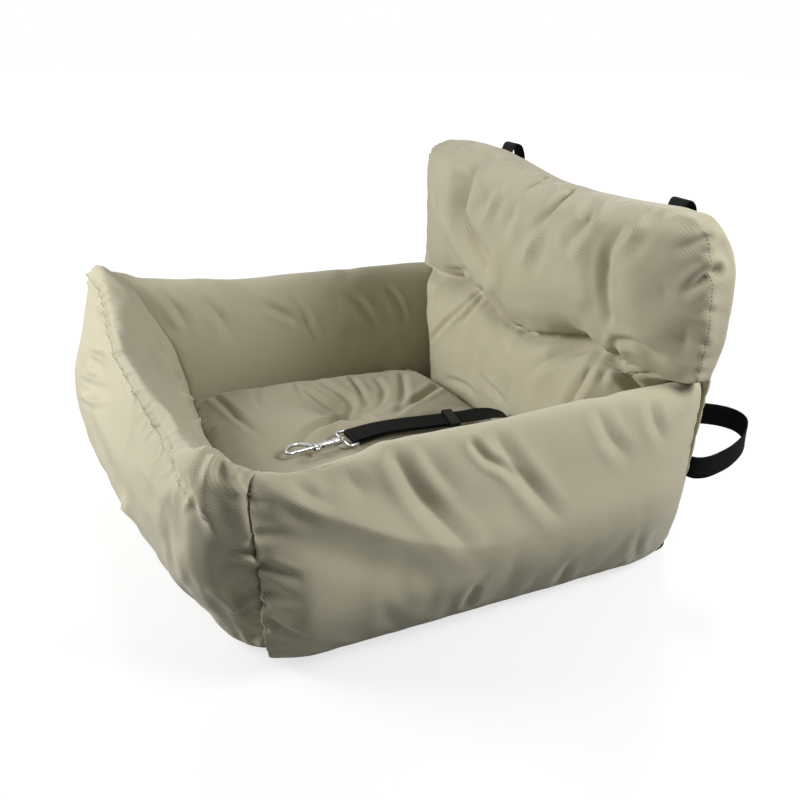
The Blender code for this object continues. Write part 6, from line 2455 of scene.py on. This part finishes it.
class SwivelSnap:
    """The swivel bolt snap: a headed eye, a cast body with its hook, and a sliding bolt with a knob.

    Every reach is counted from the middle of the eye's bar along the snap's own -Y.

    Attributes:
        eye_wire: radius of the eye's wire.
        eye_length: reach of the eye's far bar.
        barrel: reach of the barrel's two ends, and its radius.
        shank: the shank's radius and the reach of its end.
        bolt: the bolt's radius and the reach of its tail and tip.
        knob_at: reach of the knob's middle.
        knob_reach: how far the knob stands out from the axis.
        hook_wire: radius of the hook near its tip.
        hook_reach: how far the hook stands out from the axis.
        hook_tip: reach of the hook's bend.
        spring: reach of the spring's two ends, and its radius.
        spring_wire: radius of its wire.
        travel: how far the bolt slides.
    """

    eye_wire: float = 0.0017
    eye_length: float = 0.0130
    barrel: tuple[float, float, float] = (0.0160, 0.0262, 0.0047)
    shank: tuple[float, float] = (0.0036, 0.0525)
    bolt: tuple[float, float, float] = (0.0019, 0.0405, 0.0755)
    knob_at: float = 0.0495
    knob_reach: float = 0.0085
    hook_wire: float = 0.0022
    hook_reach: float = 0.0132
    hook_tip: float = 0.0846
    spring: tuple[float, float, float] = (0.0280, 0.0399, 0.0016)
    spring_wire: float = 0.0002
    travel: float = 0.0075

    def lathe(self, forge: Forge, name: str, profile: Sequence[Pair], sides: int = 32) -> bpy.types.Object:
        """A turned shape on the snap's axis from (reach, radius) points."""
        path = np.array([(0.0, -reach, 0.0) for reach, _ in profile])
        return forge.tube(name, path, [radius for _, radius in profile], sides)

    def build(self) -> list[bpy.types.Object]:
        """Makes the snap's pieces.

        Returns:
            The eye, the body, the bolt and the spring.
        """
        forge = Forge()
        place = SNAP.matrix()
        eye = self.make_eye(forge)
        body = self.make_body(forge)
        bolt = self.make_bolt(forge)
        made = []
        carried = ((eye, "bed", "snap_eye"), (body, "snap", "snap_body"), (bolt, "bolt", "snap_bolt"))
        for obj, carrier, node in carried:
            forge.settle(obj, place)
            made.append(dress(obj, CHROME.build(), "chrome", carrier, node))
        forge.clear()
        made.append(self.make_spring(forge, place))
        return made

    def make_spring(self, forge: Forge, place: Matrix) -> bpy.types.Object:
        """The bolt's return spring, coiled in the bore."""
        start, end, radius = self.spring
        share = np.linspace(0.0, 1.0, 160)
        angle = 16 * math.pi * share
        reach = -start - (end - start) * share
        path = np.stack([radius * np.cos(angle), reach, radius * np.sin(angle)], axis=1)
        spring = forge.settle(forge.tube("snap_spring_wire", path, [self.spring_wire] * len(path), 8), place)
        dress(spring, SPRING_WIRE.build(), "spring_steel", "snap", "snap_spring")
        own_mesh(spring)
        return spring

    def make_eye(self, forge: Forge) -> bpy.types.Object:
        """The rectangular wire eye and its headed stem."""
        half, corner = WEBBING_WIDTH / 2 + 0.0007 + self.eye_wire, 0.0032
        path = []
        far = self.eye_length
        for x, reach, start in ((half, far, 270), (half, 0.0, 0), (-half, 0.0, 90), (-half, far, 180)):
            cx = x - math.copysign(corner, x)
            cy = -reach + (corner if reach else -corner)
            for step in range(7):
                angle = math.radians(start + 15 * step)
                path.append((cx + corner * math.cos(angle), cy + corner * math.sin(angle), 0.0))
        line = np.array(path)
        eye = forge.tube("snap_eye_plated", line, [self.eye_wire] * len(line), 20, closed=True)
        end = self.barrel[0] - 0.0003
        boss = [
            (self.eye_length - 0.0016, 0.0026), (self.eye_length - 0.0010, 0.0032),
            (end - 0.0005, 0.0034), (end, 0.0030),
        ]
        head = self.barrel[1] - 0.0028
        parts = (
            ("eye_boss", boss),
            ("eye_stem", [(self.eye_length, 0.0019), (head + 0.0004, 0.0019)]),
            ("eye_head", [(head, 0.0031), (head + 0.0016, 0.0031)]),
        )
        for name, profile in parts:
            forge.combine(eye, self.lathe(forge, name, profile, 24), "UNION")
        return eye

    def make_body(self, forge: Forge) -> bpy.types.Object:
        """The casting: barrel, slotted shank and hook."""
        start, end, radius = self.barrel
        rod, stop = self.shank
        profile = [
            (start, 0.78 * radius), (start + 0.0004, 0.92 * radius), (start + 0.0011, radius),
            (start + 0.0040, 1.02 * radius), (end - 0.0016, radius), (end - 0.0004, 0.93 * radius),
            (end + 0.0010, 1.02 * rod), (end + 0.0024, rod), (stop - 0.0070, rod),
            (stop - 0.0058, 1.04 * rod), (stop - 0.0046, 1.12 * rod), (stop - 0.0022, 1.13 * rod),
            (stop - 0.0008, 1.06 * rod), (stop, 0.95 * rod),
        ]
        body = self.lathe(forge, "snap_body_plated", profile, 36)
        corners = [
            (-0.0014, -(stop - 0.0075), 0.0),
            (-0.0034, -(stop - 0.0010), 0.0),
            (-0.70 * self.hook_reach, -(stop + 0.0055), 0.0),
            (-self.hook_reach, -(stop + 0.0135), 0.0),
            (-0.93 * self.hook_reach, -(self.hook_tip - 0.0100), 0.0),
            (-0.60 * self.hook_reach, -(self.hook_tip - 0.0028), 0.0),
            (-0.22 * self.hook_reach, -self.hook_tip, 0.0),
            (-0.01 * self.hook_reach, -(self.hook_tip - 0.0030), 0.0),
            (0.0, -(self.bolt[2] + 0.0006), 0.0),
        ]
        path = smooth_path(corners, 8)
        radii = self.hook_wire * (1.15 - 0.25 * np.linspace(0, 1, len(path)))
        forge.combine(body, forge.tube("hook_bend", path, list(radii), 24), "UNION")
        cuts = (
            ("bolt_bore", [(0.0275, 0.0023), (stop + 0.004, 0.0023)]),
            ("stem_throat", [(start - 0.002, 0.0022), (end - 0.0026, 0.0022)]),
            ("stem_pocket", [(end - 0.0031, 0.0034), (end - 0.0009, 0.0034)]),
        )
        for name, line in cuts:
            forge.combine(body, self.lathe(forge, name, line, 24), "DIFFERENCE")
        slot = bpy.data.meshes.new("knob_slot")
        low, high = -(stop + 0.003), -(self.knob_at - 0.0075 - 0.0012 - 0.0006)
        corners_ = [(x, y, z) for x in (0.0, 0.008) for y in (low, high) for z in (-0.00155, 0.00155)]
        sides = [(0, 1, 3, 2), (4, 6, 7, 5), (0, 4, 5, 1), (2, 3, 7, 6), (0, 2, 6, 4), (1, 5, 7, 3)]
        slot.from_pydata(corners_, [], sides)
        forge.combine(body, link("knob_slot", slot), "DIFFERENCE")
        return body

    def make_bolt(self, forge: Forge) -> bpy.types.Object:
        """The sliding bolt and its thumb knob."""
        radius, tail, tip = self.bolt
        bolt = self.lathe(
            forge,
            "snap_bolt_plated",
            [(tail, radius), (tip - 0.0011, radius), (tip - 0.0004, 0.9 * radius), (tip, 0.62 * radius)],
            24,
        )
        start = self.knob_reach - 0.0032
        neck = np.array([(0.0, -self.knob_at, 0.0), (start + 0.0005, -self.knob_at, 0.0)])
        forge.combine(bolt, forge.tube("knob_neck", neck, [0.0012, 0.0012], 16), "UNION")
        rim = [(start, 0.0022), (start + 0.0005, 0.0029), (start + 0.0012, 0.0030)]
        edge = ((0.0012, 0.0029), (0.0004, 0.0023), (0.0, 0.0014))
        rim += [(self.knob_reach - back, wide) for back, wide in edge]
        path = np.array([(x, -self.knob_at, 0.0) for x, _ in rim])
        forge.combine(bolt, forge.tube("knob_head", path, [r for _, r in rim], 24), "UNION")
        return bolt


# Zip and kept solids


class Zip:
    """The cover's zip: tape, two rows of moulded teeth, and the plated slider and pull.

    Attributes:
        length: length of the teeth.
        height: height of the zip on the rear panel.
        tape_half: half the tape's width.
        stitch_rise: how far the seams lie above and below the teeth.
    """

    length: float = 0.340
    height: float = 0.048
    tape_half: float = 0.014
    stitch_rise: float = 0.0105

    def row(self, ends: Pair, out: float, rise: float, count: int) -> Seam:
        """A level line of the zip that faces rearwards.

        Args:
            ends: its two ends across.
            out: how far it stands out from the rear panel.
            rise: how far it lies above the zip's middle.
            count: how many points it has.

        Returns:
            The line's points and directions.
        """
        x = np.linspace(*ends, count)
        y = np.full(count, HALF_DEPTH + TOUCH + out)
        return np.stack([x, y, np.full(count, self.height + rise)], axis=1), np.tile(REARWARD, (count, 1))

    def build(self, thread: Thread) -> None:
        """Makes the tape and the teeth; the slider and pull keep their solids."""
        foot = HALF_DEPTH + TOUCH
        half = self.length / 2 + 0.006
        u, v = np.meshgrid(np.linspace(-1, 1, 90), np.linspace(-1, 1, 15))
        rise = 0.0009 - 0.0004 * np.abs(v) ** 8 + 0.00005 * np.sin(190 * u * half)
        face = np.stack([-u * half, foot + rise, self.height + v * self.tape_half], axis=2)
        tape = slab("zip_tape_cloth", face, foot + 0.00005)
        dress(tape, PATCH_TWILL.build(), "khaki_twill", "bed", "zip_tape")
        teeth = Repeat("zip_teeth", ACETAL.build(), (0.0013, 0.0034, 0.0020), 0.0024, boxes=True)
        lines = []
        for side in (-1, 1):
            ends = (-self.length / 2 + 0.0006 * side, self.length / 2 + 0.0006 * side)
            lines.append(self.row(ends, 0.0023, 0.0010 * side, 9))
        chain = teeth.make("zip_teeth_rows", lines)
        dress(chain, ACETAL.build(), "black_plastic", "bed", "zip_chain")
        ends = (-half + 0.003, half - 0.003)
        seams = [self.row(ends, 0.0009, side * self.stitch_rise, 40) for side in (-1, 1)]
        thread.sew("zip_stitches", seams, "bed")


def refinish(node: str, finish: bpy.types.Material) -> None:
    """Gives a kept solid its better material."""
    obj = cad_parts[node]
    for place in obj.material_slots:
        place.material = finish


def main() -> None:
    """Builds the studio, the leash, the covers and the fittings in order."""
    logging.basicConfig(level=logging.INFO, format="%(name)s: %(message)s")
    CAMERA.build()
    thread = Thread()
    Leash().build(thread, SwivelSnap())
    Studio().build()
    padded = [
        FrontBolster("front_bolster_cover", "front_bolster", around=136, rings=160, seed=11),
        SideBolster("left_bolster_cover", "left_bolster", seed=12, side=-1, picture_folds=FAR_FOLDS),
        SideBolster(
            "right_bolster_cover",
            "right_bolster",
            seed=13,
            side=1,
            picture_folds=SIDE_FOLDS,
            rises=(-0.006, -0.008, -0.008, -0.007, -0.006, -0.002, 0.0, 0.0),
            leaning=(0.009, 0.018),
            belly=((-1.0, 0.004), (-0.92, 0.015), (-0.6, 0.022), (0.0, 0.018), (0.6, 0.010), (1.0, 0.0)),
            shoulder=((-1.0, 0.0), (-0.8, 0.002), (-0.4, 0.012), (0.2, 0.018), (0.7, 0.012), (1.0, 0.0)),
        ),
        SeatCushion("seat_cushion_cover", 84, 76, seed=14),
        Backrest("backrest_cover", 122, 94, seed=15),
    ]
    filling = Filling()
    covers = []
    for piece in padded:
        cover = piece.lay()
        covers.append(cover)
        caps = {"seat_cushion_cover": 0.008, "backrest_cover": 0.012}
        filling.add(Stuffing(cover, piece.held(cover), caps.get(piece.name, 0.010)))
    filling.run()
    for piece, cover in zip(padded, covers):
        piece.finish(cover, thread)
    RearPanel("rear_panel_cover", 92, 40, gusset_rows=2, seed=16).make(thread)
    FloorPad("floor_pad_cover", 60, 40, gusset_rows=3).make()
    Underside().build()
    HeadrestLoops().build(thread)
    BeltLoop().build(thread)
    Zip().build(thread)
    for node in ("zip_slider", "zip_pull"):
        refinish(node, CHROME.build())
    refinish("leash_adjuster", ACETAL.build())


if __name__ == "__main__":
    main()
